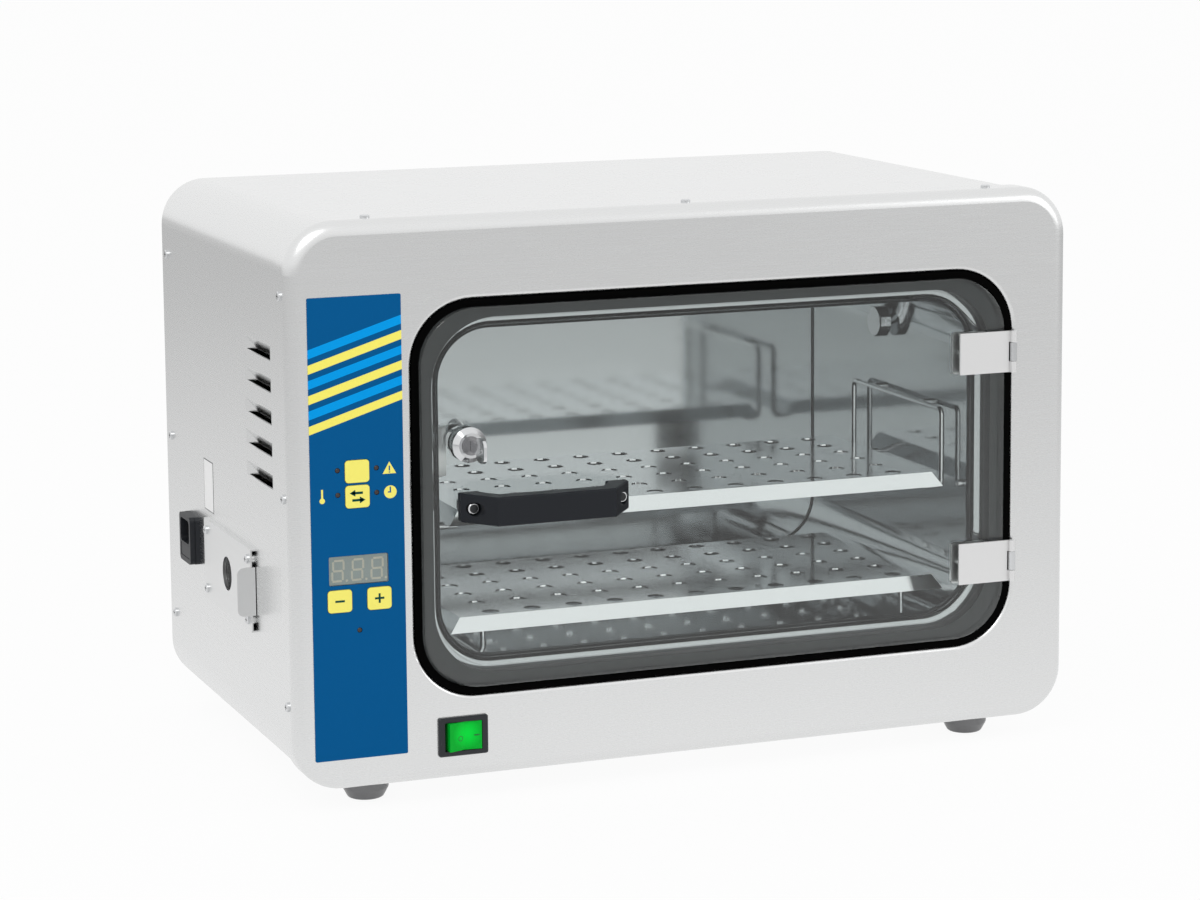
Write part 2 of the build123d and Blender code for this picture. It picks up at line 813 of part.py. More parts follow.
def display_module():
    """Three-digit display body behind the window."""
    size = (display_width - 2 * gap, display_height - 2 * gap)
    return front_panel((overlay_x, display_z), size, 0.7, (gap, display_depth)) + block(
        (overlay_x - 15, overlay_x + 15), (display_depth, board_y), (display_z - 6, display_z + 6)
    )


def display_window():
    """Clear lens flush with the panel foil."""
    size = (display_width - 2 * screw_fit, display_height - 2 * screw_fit)
    return front_panel((overlay_x, display_z), size, 1.0, (-overlay_sheet, 0))


def indicator_leds():
    """Five round lamps from the control board to the panel's surface."""
    lamps = []
    for x, z in led_places:
        lamp = bar((x, -overlay_sheet - 0.3, z), (x, board_y, z), led_radius)
        lamps.append(chamfer(lamp.edges().group_by(Axis.Y)[0], 0.5))
    return join(lamps)


def switch_housing():
    """Bezel and hollow body of the power switch."""
    center = (switch_x, switch_z)
    bezel = front_panel(center, (bezel_width, bezel_height), 1.5, (-bezel_proud, 0))
    bezel = chamfer(bezel.edges().group_by(Axis.Y)[0], 0.7)
    body = front_panel(center, (switch_body_width, switch_body_height), 1.0, (-1, switch_body_depth))
    cavity = (switch_body_width - 2 * switch_wall, switch_body_height - 2 * switch_wall)
    housing = bezel + body - front_panel(center, cavity, 0.5, (-bezel_proud - 1, switch_body_depth - 3))
    pin_half = switch_body_height / 2 - 0.5
    pivot = (switch_x, rocker_pivot_y)
    housing -= bar((*pivot, switch_z - pin_half), (*pivot, switch_z + pin_half), rocker_pin + pin_fit)
    for x in (-6.0, 0.0, 6.0):
        housing += block((switch_x + x - 2.4, switch_x + x + 2.4), (switch_body_depth, switch_body_depth + 8),
                         (switch_z - 0.4, switch_z + 0.4))
    return housing


def power_rocker():
    """Rocker on its cross pin, tilted with its right side pressed in."""
    half = switch_body_width / 2 - switch_wall - rocker_side_gap
    outline = Polyline(
        (-half, -bezel_proud - 1.4),
        (0, -bezel_proud - 1.4 + rocker_dip),
        (half, -bezel_proud - 1.4),
        (half - 0.6, 6.0),
        (4.0, 11.0),
        (-4.0, 11.0),
        (-half + 0.6, 6.0),
        close=True,
    )
    height = switch_body_height - 2 * switch_wall - 2 * gap
    lever = extrude(make_face(outline), amount=height / 2, both=True)
    pin_half = switch_body_height / 2 - 0.7
    lever += bar((0, rocker_pivot_y, -pin_half), (0, rocker_pivot_y, pin_half), rocker_pin)
    to_pivot = Pos(0, -rocker_pivot_y, 0)
    tilted = Rot(0, 0, rocker_tilt) * (to_pivot * lever)
    return Pos(switch_x, rocker_pivot_y, switch_z) * tilted


def inlet_levels():
    """Middles and limits of the socket and the drawer inside the inlet."""
    top = inlet_z + inlet_height / 2 - inlet_wall
    socket = (top - socket_height, top)
    drawer_top = socket[0] - 1.5
    drawer = (drawer_top - drawer_height, drawer_top)
    return socket, drawer


def mains_inlet():
    """Mains inlet: stepped housing on the side wall with a socket above a fuse drawer."""
    center = (inlet_y, inlet_z)
    socket, drawer = inlet_levels()
    face = wall_left - inlet_proud
    step_size = (inlet_width - 2, inlet_height)
    housing = side_panel(center, step_size, 3.0, (face, wall_left - inlet_step))
    housing += side_panel(center, (inlet_width, inlet_height), 3.0, (wall_left - inlet_step, wall_left))
    body_size = (inlet_width - 2 * inlet_step, inlet_height - 2 * inlet_step)
    housing += side_panel(center, body_size, 2.0, (wall_left - 1, wall_left + inlet_body))
    socket_z = (socket[0] + socket[1]) / 2
    socket_size = (inlet_width - 2 * inlet_wall - 2, socket_height)
    housing -= side_panel((inlet_y, socket_z), socket_size, 3.0, (face - 1, face + socket_depth))
    half = inlet_width / 2 - inlet_wall - 1.5
    housing -= block((face - 1, face + drawer_length + 1), (inlet_y - half - gap, inlet_y + half + gap),
                     (drawer[0] - gap, drawer[1] + gap))
    return housing


def inlet_pins():
    """Three blades inside the socket."""
    socket, drawer = inlet_levels()
    back = wall_left - inlet_proud + socket_depth
    middle = (socket[0] + socket[1]) / 2
    blades = []
    for y, z in ((-7.0, -1.5), (0.0, 2.5), (7.0, -1.5)):
        blades.append(block((back - socket_pin, back), (inlet_y + y - 1, inlet_y + y + 1),
                            (middle + z - 2, middle + z + 2)))
    return join(blades)


def fuse_drawer():
    """Drawer below the socket, with a trough for the fuse."""
    socket, drawer = inlet_levels()
    face = wall_left - inlet_proud
    half = inlet_width / 2 - inlet_wall - 1.5
    y = (inlet_y - half, inlet_y + half)
    body = block((face + 0.2, face + drawer_length), y, drawer)
    trough = block((face + 3, face + drawer_length - 2), (y[0] + 4, y[1] - 4), (drawer[1] - 6.4, drawer[1] + 1))
    return body - trough


def fuse():
    """Cartridge fuse lying in the drawer's trough."""
    socket, drawer = inlet_levels()
    start = wall_left - inlet_proud + 3 + gap
    end = wall_left - inlet_proud + drawer_length - 2 - gap
    z = drawer[1] - 6.4 + fuse_radius + 0.1
    return bar((start, inlet_y, z), (end, inlet_y, z), fuse_radius)


def vent_guide():
    """Shallow channel screwed on the side wall that holds the vent slider."""
    y = (guide_front, guide_rear)
    z = (vent_z - guide_height / 2, vent_z + guide_height / 2)
    guide = block((guide_face, wall_left), y, z)
    slot_z = (z[0] + guide_sheet, z[1] - guide_sheet)
    guide -= block((guide_face + guide_sheet, wall_left + 1), (y[0] - 1, y[1] - guide_sheet), slot_z)
    for point, way in guide_screw_places():
        guide += bar((guide_face + guide_sheet / 2, point[1], point[2]), (wall_left, point[1], point[2]), guide_boss)
    guide -= bar((guide_face - 1, vent_y, vent_z), (guide_face + guide_sheet + 1, vent_y, vent_z), vent_radius)
    for hole in screw_holes(guide_screw_places()):
        guide -= hole
    return guide


def vent_slider():
    """Sliding plate behind the guide, its front end bent out as a finger tab."""
    middle = (wall_left + guide_face + guide_sheet) / 2
    x = (middle - slider_sheet / 2, middle + slider_sheet / 2)
    tab_y = guide_front - gap - slider_sheet
    z = (vent_z - slider_height / 2, vent_z + slider_height / 2)
    plate = block(x, (tab_y, slider_rear), z)
    plate -= bar((x[0] - 1, vent_y + 1.5, vent_z), (x[1] + 1, vent_y + 1.5, vent_z), vent_radius)
    tab = block((-case_width / 2 - tab_reach, x[1]), (tab_y, tab_y + slider_sheet), z)
    tab = fillet(tab.edges().filter_by(Axis.Y).group_by(Axis.X)[0], tab_corner)
    return plate + tab


def vent_duct():
    """Short tube from the side wall to the chamber."""
    ends = (wall_left + casing_sheet, chamber_left - liner_sheet)
    tube = bar((ends[0], vent_y, vent_z), (ends[1], vent_y, vent_z), vent_radius + duct_wall)
    return tube - bar((ends[0] - 1, vent_y, vent_z), (ends[1] + 1, vent_y, vent_z), vent_radius)


def case_screws():
    """All the small pan-head screws of the case."""
    places = rim_screw_places() + rear_screw_places() + guide_screw_places() + base_screw_places()
    return join([screw(point, way) for point, way in places])


def power_board_limits():
    """Left, right, front and rear of the supply board."""
    right = power_board_left + power_board_width
    return power_board_left, right, power_board_front, power_board_front + power_board_length


def power_board():
    """Supply board on the base with its transformer, relay, terminal block and capacitor."""
    left, right, front, rear = power_board_limits()
    z = case_bottom + base_sheet + power_board_height
    top = z + board_sheet
    board = block((left, right), (front, rear), (z, top))
    board += block((left + 10, left + 42), (front + 12, front + 50), (top, top + 28))
    board += block((left + 8, left + 28), (front + 58, front + 74), (top, top + 15))
    board += block((left + 10, right - 10), (rear - 16, rear - 5), (top, top + 12))
    return board + bar((right - 12, front + 66, top), (right - 12, front + 66, top + 18), 6.0)


def hinge_screw_places():
    """Screws that clamp the glass between each door leaf and its inner plate."""
    x = hinge_x - hinge_leaf + hinge_screw_inset
    return [(x + dx, z) for z in hinge_heights for dx in (0.0, hinge_screw_spread)]


def hinge_door_leaves():
    """Outer leaves on the glass: a plate rolled into an upper and a lower knuckle."""
    leaves = []
    for z in hinge_heights:
        z_limits = (z - hinge_height / 2, z + hinge_height / 2)
        plate = block((hinge_x - hinge_leaf, hinge_x), (glass_front - hinge_sheet, glass_front), z_limits)
        roll = bar((hinge_x, hinge_y, z_limits[0]), (hinge_x, hinge_y, z_limits[1]), knuckle_radius)
        leaf = plate + roll
        notch = middle_knuckle / 2 + gap
        leaf -= block((hinge_x - knuckle_radius - 2 * gap, hinge_x + 5), (-20, 5), (z - notch, z + notch))
        leaf -= bar((hinge_x, hinge_y, z_limits[0] - 1), (hinge_x, hinge_y, z_limits[1] + 1), pin_radius)
        leaves.append(leaf)
    return join(leaves)


def hinge_frame_leaves():
    """Fixed leaves: a middle knuckle, a strap past the glass edge and a foot on the liner flange."""
    leaves = []
    for z in hinge_heights:
        half = middle_knuckle / 2
        leaf = bar((hinge_x, hinge_y, z - half), (hinge_x, hinge_y, z + half), knuckle_radius)
        leaf += hinge_foot_box(z, 0)
        leaf -= bar((hinge_x, hinge_y, z - half - 1), (hinge_x, hinge_y, z + half + 1), pin_radius + pin_fit)
        leaves.append(leaf)
    return join(leaves)


def hinge_pins():
    """Pins through the knuckles, pressed into the door leaves."""
    half = hinge_height / 2
    return join([bar((hinge_x, hinge_y, z - half), (hinge_x, hinge_y, z + half), pin_radius) for z in hinge_heights])


def hinge_clamp_plates():
    """Plates behind the glass, one for each hinge."""
    plates = []
    left = hinge_x - hinge_leaf - clamp_shift / 2
    for z in hinge_heights:
        y = (glass_back, glass_back + clamp_sheet)
        plate = front_panel((left + clamp_width / 2, z), (clamp_width, hinge_height), 2.0, y)
        plates.append(plate)
    for x, z in hinge_screw_places():
        ends = (glass_back - 1, glass_back + clamp_sheet + 1)
        hole = bar((x, ends[0], z), (x, ends[1], z), hinge_screw_radius + screw_fit)
        plates = [plate - hole for plate in plates]
    return join(plates)


def hinge_screws():
    """Screws from inside the door, through clamp plate and glass, into the door leaf."""
    screws = []
    for x, z in hinge_screw_places():
        seat = glass_back + clamp_sheet
        shank = bar((x, seat, z), (x, glass_front, z), hinge_screw_radius)
        screws.append(shank + bar((x, seat, z), (x, seat + 1.6, z), 3.2))
    return join(screws)


def handle_screw_places():
    """Middles of the two handle screws, seen from the front."""
    half = handle_length / 2 - handle_screw_inset
    return [(handle_x - half, handle_z), (handle_x + half, handle_z)]


def door_glass():
    """Glass door pane with ground edges and holes for the lock, handle and hinge screws."""
    pane = front_panel((door_x, door_z), (glass_width, glass_height), glass_radius, (glass_front, glass_back))
    pane = chamfer(pane.edges().group_by(Axis.Y)[0], 0.6)
    pane -= bar((lock_x, -9, lock_z), (lock_x, 9, lock_z), barrel_radius + screw_fit)
    for x, z in handle_screw_places():
        pane -= bar((x, -9, z), (x, 9, z), handle_screw_radius + screw_fit)
    for x, z in hinge_screw_places():
        pane -= bar((x, -9, z), (x, 9, z), hinge_screw_radius + screw_fit)
    return pane


def handle():
    """Bridge handle: a bar with sloping ends on two feet, the screws sunk in the slopes."""
    foot = glass_front - washer_thickness
    half = handle_length / 2
    bar_half = handle_bar / 2
    front = -handle_reach
    inner = front + handle_bar_depth
    inner_half = bar_half - 5.0
    right = [
        (half, foot),
        (half, foot - handle_foot),
        (bar_half, front),
    ]
    under = [
        (inner_half, inner),
        (half - handle_end, foot - handle_foot + 1),
        (half - handle_end, foot),
    ]
    outline = right + [(-x, y) for x, y in reversed(right)]
    outline += [(-x, y) for x, y in reversed(under)] + under
    body = extrude(make_face(Polyline(*outline, close=True)), amount=handle_height / 2, both=True)
    outer_edges = body.edges().filter_by(lambda e: abs(e.center().Z) > handle_height / 2 - 0.1)
    body = fillet(outer_edges, 1.2)
    for side in (-1, 1):
        x = side * (half - handle_screw_inset)
        body -= bar((x, front - 1, 0), (x, foot - 7.0, 0), handle_head_radius + 0.8)
        body -= bar((x, front, 0), (x, foot + 1, 0), handle_screw_radius + screw_fit)
    return Pos(handle_x, 0, handle_z) * body


def handle_screws():
    """Socket-head screws through the handle and the glass."""
    seat = glass_front - washer_thickness - 7.0
    screws = []
    for x, z in handle_screw_places():
        head = bar((x, seat - 4.0, z), (x, seat, z), handle_head_radius)
        head = chamfer(head.edges().group_by(Axis.Y)[0], 0.4)
        hex_plane = Plane(origin=(x, seat - 4.0, z), x_dir=(1, 0, 0), z_dir=(0, 1, 0))
        head -= extrude(hex_plane * RegularPolygon(1.7, 6), amount=2.2)
        screws.append(head + bar((x, seat, z), (x, glass_back + 5.0, z), handle_screw_radius))
    return join(screws)


def handle_washers():
    """Bright discs between the handle's feet and the glass."""
    discs = []
    for x, z in handle_screw_places():
        disc = bar((x, glass_front - washer_thickness, z), (x, glass_front, z), washer_radius)
        discs.append(disc - bar((x, -9, z), (x, 9, z), handle_screw_radius + screw_fit))
    return join(discs)


def handle_nuts():
    """Cap nuts behind the glass."""
    nuts = []
    for x, z in handle_screw_places():
        plane = Plane(origin=(x, glass_back, z), x_dir=(1, 0, 0), z_dir=(0, 1, 0))
        nut = extrude(plane * RegularPolygon(4.0, 6), amount=4.0)
        nut += bar((x, glass_back + 4.0, z), (x, glass_back + 6.5, z), 3.2)
        nuts.append(nut - bar((x, glass_back - 1, z), (x, glass_back + 5.0, z), handle_screw_radius))
    return join(nuts)


def lock_body():
    """Round rosette with a sloping rim and the barrel that passes through the glass."""
    outline = Polyline(
        (plug_radius + plug_fit, glass_front),
        (lock_radius, glass_front),
        (lock_radius, glass_front - 1.2),
        (lock_radius - 3.2, glass_front - lock_height),
        (plug_radius + plug_fit, glass_front - lock_height),
        close=True,
    )
    rosette = revolve(make_face(outline), Axis.Y)
    barrel = bar((0, glass_front - 1, 0), (0, barrel_end, 0), barrel_radius)
    barrel -= bar((0, glass_front - 2, 0), (0, barrel_end + 1, 0), plug_radius + plug_fit)
    return Pos(lock_x, 0, lock_z) * (rosette + barrel)


def lock_nut():
    """Round nut that clamps the lock from inside."""
    start = (lock_x, glass_back, lock_z)
    end = (lock_x, glass_back + 3.0, lock_z)
    nut = bar(start, end, lock_radius)
    return nut - bar((lock_x, -9, lock_z), (lock_x, 9, lock_z), barrel_radius)


def lock_plug():
    """Turning core with its key slot in front and a riveted tail for the cam."""
    front = glass_front - lock_height - plug_proud
    core = bar((lock_x, front, lock_z), (lock_x, barrel_end + gap, lock_z), plug_radius)
    core += bar((lock_x, barrel_end, lock_z), (lock_x, cam_front, lock_z), tail_radius)
    seat = cam_front + cam_sheet
    core += bar((lock_x, cam_front, lock_z), (lock_x, seat, lock_z), screw_radius)
    core += bar((lock_x, seat, lock_z), (lock_x, seat + screw_head, lock_z), screw_head_radius)
    half = key_sheet / 2 + screw_fit
    slot_half = key_blade / 2 + screw_fit
    slot = block((lock_x - half, lock_x + half), (front - 1, front + key_depth + gap), (lock_z - slot_half, lock_z + slot_half))
    return core - slot


def door_key():
    """Flat key in the lock, blade upright, with a rounded bow."""
    front = glass_front - lock_height - plug_proud
    x = (lock_x - key_sheet / 2, lock_x + key_sheet / 2)
    blade = block(x, (-key_reach + key_bow_length - 2, front + key_depth), (lock_z - key_blade / 2, lock_z + key_blade / 2))
    bow_middle = (-key_reach + key_bow_length / 2, lock_z)
    bow = side_panel(bow_middle, (key_bow_length, key_bow), 5.0, x)
    hole = bar((x[0] - 1, -key_reach + 4.5, lock_z), (x[1] + 1, -key_reach + 4.5, lock_z), 1.8)
    return blade + bow - hole


def lock_cam():
    """Flat cam behind the plug, pointing up when the door is unlocked."""
    plane = Plane(origin=(lock_x, cam_front, lock_z), x_dir=(1, 0, 0), z_dir=(0, 1, 0))
    tip = cam_reach - cam_half_width
    outline = plane * Circle(cam_half_width + 0.5)
    outline += plane * Pos(0, -tip / 2) * Rectangle(2 * cam_half_width, tip)
    outline += plane * Pos(0, -tip) * Circle(cam_half_width)
    cam = extrude(outline, amount=cam_sheet)
    return cam - bar((lock_x, cam_front - 1, lock_z), (lock_x, cam_front + 9, lock_z), screw_radius)


def lock_keeper():
    """Bent keeper on the chamber's left wall that the turned cam reaches behind."""
    y = cam_front - 1.0 - keeper_sheet
    low = lock_z - keeper_height / 2 - keeper_foot
    web = block((chamber_left, chamber_left + keeper_reach), (y, y + keeper_sheet), (low, lock_z + keeper_height / 2))
    foot_top = lock_z - keeper_height / 2
    return web + block((chamber_left, chamber_left + keeper_sheet), (y, y + 14.0), (low, foot_top))


os.makedirs("parts", exist_ok=True)

save("front_fascia", front_fascia())
save("outer_casing", outer_casing())
save("base_plate", base_plate())
save("rear_panel", rear_panel())
foot_names = ("foot_front_left", "foot_front_right", "foot_rear_left", "foot_rear_right")
for foot_name, foot_place in zip(foot_names, foot_places()):
    save(foot_name, foot(*foot_place))
save("foot_screws", foot_screws())
save("case_screws", case_screws())

save("chamber_liner", chamber_liner())
save("door_gasket", door_gasket())
save("insulation_wrap", insulation_wrap())
save("insulation_rear", insulation_rear())
save("heater_bottom", heater_bottom())
save("heater_rear", heater_rear())
save("overheat_thermostat", overheat_thermostat())
save("temperature_probe", temperature_probe())

save("shelf_upper", shelf(upper_shelf_top))
save("shelf_lower", shelf(lower_shelf_top))
for side_name, side in (("left", -1), ("right", 1)):
    save("side_rack_" + side_name, side_rack(side))
save("shelf_runners", shelf_runners())
save("rack_studs", rack_studs())

save("control_overlay", control_overlay())
for key_name, key_place in key_places.items():
    save(key_name, panel_key(*key_place))
save("control_board", control_board())
save("board_posts", board_posts())
save("display_module", display_module())
save("display_window", display_window())
save("indicator_leds", indicator_leds())
save("switch_housing", switch_housing())
save("power_rocker", power_rocker())
save("mains_inlet", mains_inlet())
save("inlet_pins", inlet_pins())
save("fuse_drawer", fuse_drawer())
save("fuse", fuse())
save("vent_guide", vent_guide())
save("vent_slider", vent_slider())
save("vent_duct", vent_duct())
save("power_board", power_board())

save("hinge_frame_leaves", hinge_frame_leaves())
save("hinge_door_leaves", hinge_door_leaves())
save("hinge_pins", hinge_pins())
save("hinge_clamp_plates", hinge_clamp_plates())
save("hinge_screws", hinge_screws())
save("door_glass", door_glass())
save("handle", handle())
save("handle_screws", handle_screws())
save("handle_washers", handle_washers())
save("handle_nuts", handle_nuts())
save("lock_body", lock_body())
save("lock_nut", lock_nut())
save("lock_plug", lock_plug())
save("door_key", door_key())
save("lock_cam", lock_cam())
save("lock_keeper", lock_keeper())
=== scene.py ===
import math

import bpy
from bpy.props import FloatProperty, FloatVectorProperty, PointerProperty
from mathutils import Matrix, Vector


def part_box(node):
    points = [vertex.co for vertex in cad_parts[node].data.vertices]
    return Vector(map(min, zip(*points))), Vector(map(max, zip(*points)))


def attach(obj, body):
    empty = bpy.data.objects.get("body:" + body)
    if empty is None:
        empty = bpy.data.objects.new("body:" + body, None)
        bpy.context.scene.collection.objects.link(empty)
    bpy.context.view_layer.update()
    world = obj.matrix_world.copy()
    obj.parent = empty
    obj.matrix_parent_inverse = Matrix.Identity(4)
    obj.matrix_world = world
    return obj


bl_info = {
    "name": "Heating Cabinet",
    "version": (1, 0, 0),
    "blender": (4, 5, 0),
    "location": "View3D > Sidebar > Heating Cabinet",
    "description": "Finishes and small details of a bench-top heating cabinet on its CAD frame",
    "category": "Object",
}

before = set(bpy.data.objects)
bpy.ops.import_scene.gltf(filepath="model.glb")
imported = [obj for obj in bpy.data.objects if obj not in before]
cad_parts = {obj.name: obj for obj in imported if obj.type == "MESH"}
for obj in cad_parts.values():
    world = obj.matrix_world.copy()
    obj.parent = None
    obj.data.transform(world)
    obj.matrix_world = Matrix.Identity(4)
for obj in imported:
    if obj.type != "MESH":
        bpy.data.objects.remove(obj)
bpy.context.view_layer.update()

MM = 0.001

# Places that several pieces share, read from the frame's nodes, in metres.
OVERLAY_LOW, OVERLAY_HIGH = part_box("control_overlay")
FASCIA_LOW, FASCIA_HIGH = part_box("front_fascia")
CASING_LOW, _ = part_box("outer_casing")
LINER_LOW, LINER_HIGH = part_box("chamber_liner")
WINDOW_LOW, WINDOW_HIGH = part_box("display_window")
GUIDE_LOW, GUIDE_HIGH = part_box("vent_guide")

YELLOW = (0.97, 0.88, 0.16)
PANEL_BLUE = (0.0, 0.096, 0.28)
STRIPE_BLUE = (0.0, 0.33, 0.82)
INK_GREEN = (0.0, 0.06, 0.05)

# Finish of the panel's film, and of what is printed in its colour.
FILM_ROUGHNESS = 0.38
FILM_SHINE = 0.06

# Slope of the rocker's left half at rest.
ROCKER_SLOPE = math.radians(18.4)

# Depth of a display segment and of a socket's disc of painted shade.
THIN = 0.1 * MM


def colour_property(name, description, default):
    return FloatVectorProperty(
        name=name, description=description, subtype="COLOR", size=3, min=0, max=1, default=default
    )


def length_property(name, description, default):
    return FloatProperty(
        name=name, description=description, subtype="DISTANCE", unit="LENGTH", min=0, default=default
    )


def factor_property(name, description, default):
    return FloatProperty(name=name, description=description, subtype="FACTOR", min=0, max=1, default=default)


class HeatcabMetal(bpy.types.PropertyGroup):
    case_colour: colour_property("Case", "Colour of the satin steel sheets", (0.745, 0.75, 0.75))
    case_roughness: factor_property("Case roughness", "How matte the satin steel is", 0.27)
    liner_colour: colour_property("Chamber", "Colour of the polished chamber sheets", (0.53, 0.55, 0.56))
    liner_roughness: factor_property("Chamber roughness", "How matte the chamber is", 0.09)
    shelf_colour: colour_property("Shelves", "Colour of the polished shelves", (0.84, 0.85, 0.86))
    bright_colour: colour_property(
        "Bright parts", "Colour of chromed and zinc-plated parts", (0.66, 0.67, 0.68)
    )


class HeatcabPlastic(bpy.types.PropertyGroup):
    black: colour_property("Black plastic", "Colour of handle, bezel and inlet", (0.012, 0.014, 0.018))
    rubber: colour_property("Rubber", "Colour of the gasket", (0.022, 0.027, 0.029))
    rocker: colour_property("Rocker", "Colour of the lit rocker", (0.0, 0.44, 0.03))
    rocker_glow: FloatProperty(
        name="Rocker glow", description="Light given off where the rocker is brightest", min=0, default=1.0
    )


class HeatcabPanel(bpy.types.PropertyGroup):
    colour: colour_property("Panel", "Colour of the panel film", PANEL_BLUE)
    yellow: colour_property("Yellow", "Colour of keys, signs and every second stripe", YELLOW)
    stripe_blue: colour_property("Light blue", "Colour of the other stripes", STRIPE_BLUE)
    stripe_height: length_property("Stripe height", "Upright height of one stripe", 5.3 * MM)
    stripe_pitch: length_property("Stripe pitch", "Upright distance from stripe to stripe", 9.27 * MM)
    stripe_drop: length_property(
        "Stripe drop", "From the film's top to the first stripe at the left", 31.3 * MM
    )
    stripe_slope: FloatProperty(
        name="Slope", description="Rise of the stripes over their length", default=0.311
    )
    sign_thickness: length_property("Sign thickness", "Thickness of a printed sign", 0.05 * MM)


class HeatcabDetail(bpy.types.PropertyGroup):
    lip_width: length_property("Gasket lip", "Width of the gasket's lip beside the glass", 4.6 * MM)
    seam_radius: length_property("Seam", "Radius of the weld seam round the chamber's back", 0.5 * MM)
    cross_length: length_property("Cross recess", "Length of the cross in a screw head", 3.4 * MM)


class HeatcabStage(bpy.types.PropertyGroup):
    lens: FloatProperty(
        name="Focal length", description="Focal length in millimetres", min=10, default=104.712
    )
    lamp_power: FloatProperty(
        name="Lamp", description="Power of the large lamp", unit="POWER", min=0, default=16.0
    )
    fill_power: FloatProperty(
        name="Fill", description="Power of the fill lamp", unit="POWER", min=0, default=6.0
    )
    room_light: FloatProperty(
        name="Room", description="Strength of the surrounding light", min=0, default=0.75
    )
    floor_size: length_property("Floor", "Side of the square floor", 30.0)


def settings(name):
    return getattr(bpy.context.scene, "heatcab_" + name)


# Modelling helpers


def clear_selection():
    if bpy.context.object and bpy.context.object.mode != "OBJECT":
        bpy.ops.object.mode_set(mode="OBJECT")
    bpy.ops.object.select_all(action="DESELECT")


def select(*objects):
    clear_selection()
    for obj in objects:
        obj.select_set(True)
    bpy.context.view_layer.objects.active = objects[0]


def apply_place(obj):
    select(obj)
    bpy.ops.object.transform_apply(location=True, rotation=True, scale=True)


def add_block(low, high):
    """Box between two corners, its place in the mesh."""
    clear_selection()
    low, high = Vector(low), Vector(high)
    bpy.ops.mesh.primitive_cube_add(size=1, location=(low + high) / 2)
    obj = bpy.context.object
    obj.scale = high - low
    apply_place(obj)
    return obj


def add_disc(center, radius, thickness, vertices=32):
    """Flat round, or with few vertices a polygon, that looks forward."""
    clear_selection()
    bpy.ops.mesh.primitive_cylinder_add(
        vertices=vertices, radius=radius, depth=thickness, location=center, rotation=(math.pi / 2, 0, 0)
    )
    obj = bpy.context.object
    apply_place(obj)
    return obj


def add_ring(center, radius, tube, swing):
    """Round ring that looks forward, then swings about the upright."""
    clear_selection()
    bpy.ops.mesh.primitive_torus_add(
        location=center, rotation=(math.pi / 2, 0, swing), major_radius=radius, minor_radius=tube,
        major_segments=48, minor_segments=8,
    )
    obj = bpy.context.object
    apply_place(obj)
    return obj


def modifier(obj, kind, **values):
    """Adds one modifier with its settings and applies it."""
    select(obj)
    bpy.ops.object.modifier_add(type=kind)
    added = obj.modifiers[-1]
    for key, value in values.items():
        setattr(added, key, value)
    bpy.ops.object.modifier_apply(modifier=added.name)


def soften(obj, width, segments):
    modifier(obj, "BEVEL", width=width, segments=segments, limit_method="ANGLE")


def stretch(obj, axis, middle, amount):
    """Moves the two halves of a mesh apart along one axis, in edit mode."""
    tolerance = 1e-7
    for side in (-1, 1):
        select(obj)
        bpy.ops.object.mode_set(mode="EDIT")
        bpy.ops.mesh.select_all(action="DESELECT")
        bpy.ops.object.mode_set(mode="OBJECT")
        for vertex in obj.data.vertices:
            vertex.select = side * (vertex.co[axis] - middle) > tolerance
        bpy.ops.object.mode_set(mode="EDIT")
        move = [0, 0, 0]
        move[axis] = side * amount
        bpy.ops.transform.translate(value=move)
        bpy.ops.object.mode_set(mode="OBJECT")


def spin(obj, angle, center):
    """Turns a mesh about a point, round the axis from front to back, in edit mode."""
    select(obj)
    bpy.ops.object.mode_set(mode="EDIT")
    bpy.ops.mesh.select_all(action="SELECT")
    bpy.ops.transform.rotate(value=angle, orient_axis="Y", center_override=center)
    bpy.ops.object.mode_set(mode="OBJECT")


def merge(name, objects):
    """Joins several meshes into one named piece."""
    select(*objects)
    if len(objects) > 1:
        bpy.ops.object.join()
    obj = bpy.context.object
    obj.name = name
    obj.data.name = name
    return obj


def give(obj, look, body):
    """Material and body of a new piece."""
    obj.data.materials.clear()
    obj.data.materials.append(look)
    for polygon in obj.data.polygons:
        polygon.material_index = 0
    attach(obj, body)


def paint(look, *nodes):
    """One material on all material slots of some CAD nodes."""
    for node in nodes:
        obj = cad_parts[node]
        if not obj.material_slots:
            obj.data.materials.append(look)
        for place in obj.material_slots:
            place.material = look


def smooth(obj, angle):
    """Smooth shading, with edges above an angle in degrees kept sharp."""
    select(obj)
    bpy.ops.object.shade_smooth_by_angle(angle=math.radians(angle))


# Material helpers


def new_material(name):
    look = bpy.data.materials.new(name)
    look.use_nodes = True
    tree = look.node_tree
    shader = tree.nodes["Principled BSDF"]
    return look, tree, shader


def plain(name, colour, roughness, metallic=0.0, shine=0.5):
    """Principled material with uniform values."""
    look, _, shader = new_material(name)
    shader.inputs["Base Color"].default_value = (*colour, 1)
    shader.inputs["Roughness"].default_value = roughness
    shader.inputs["Metallic"].default_value = metallic
    shader.inputs["Specular IOR Level"].default_value = shine
    return look


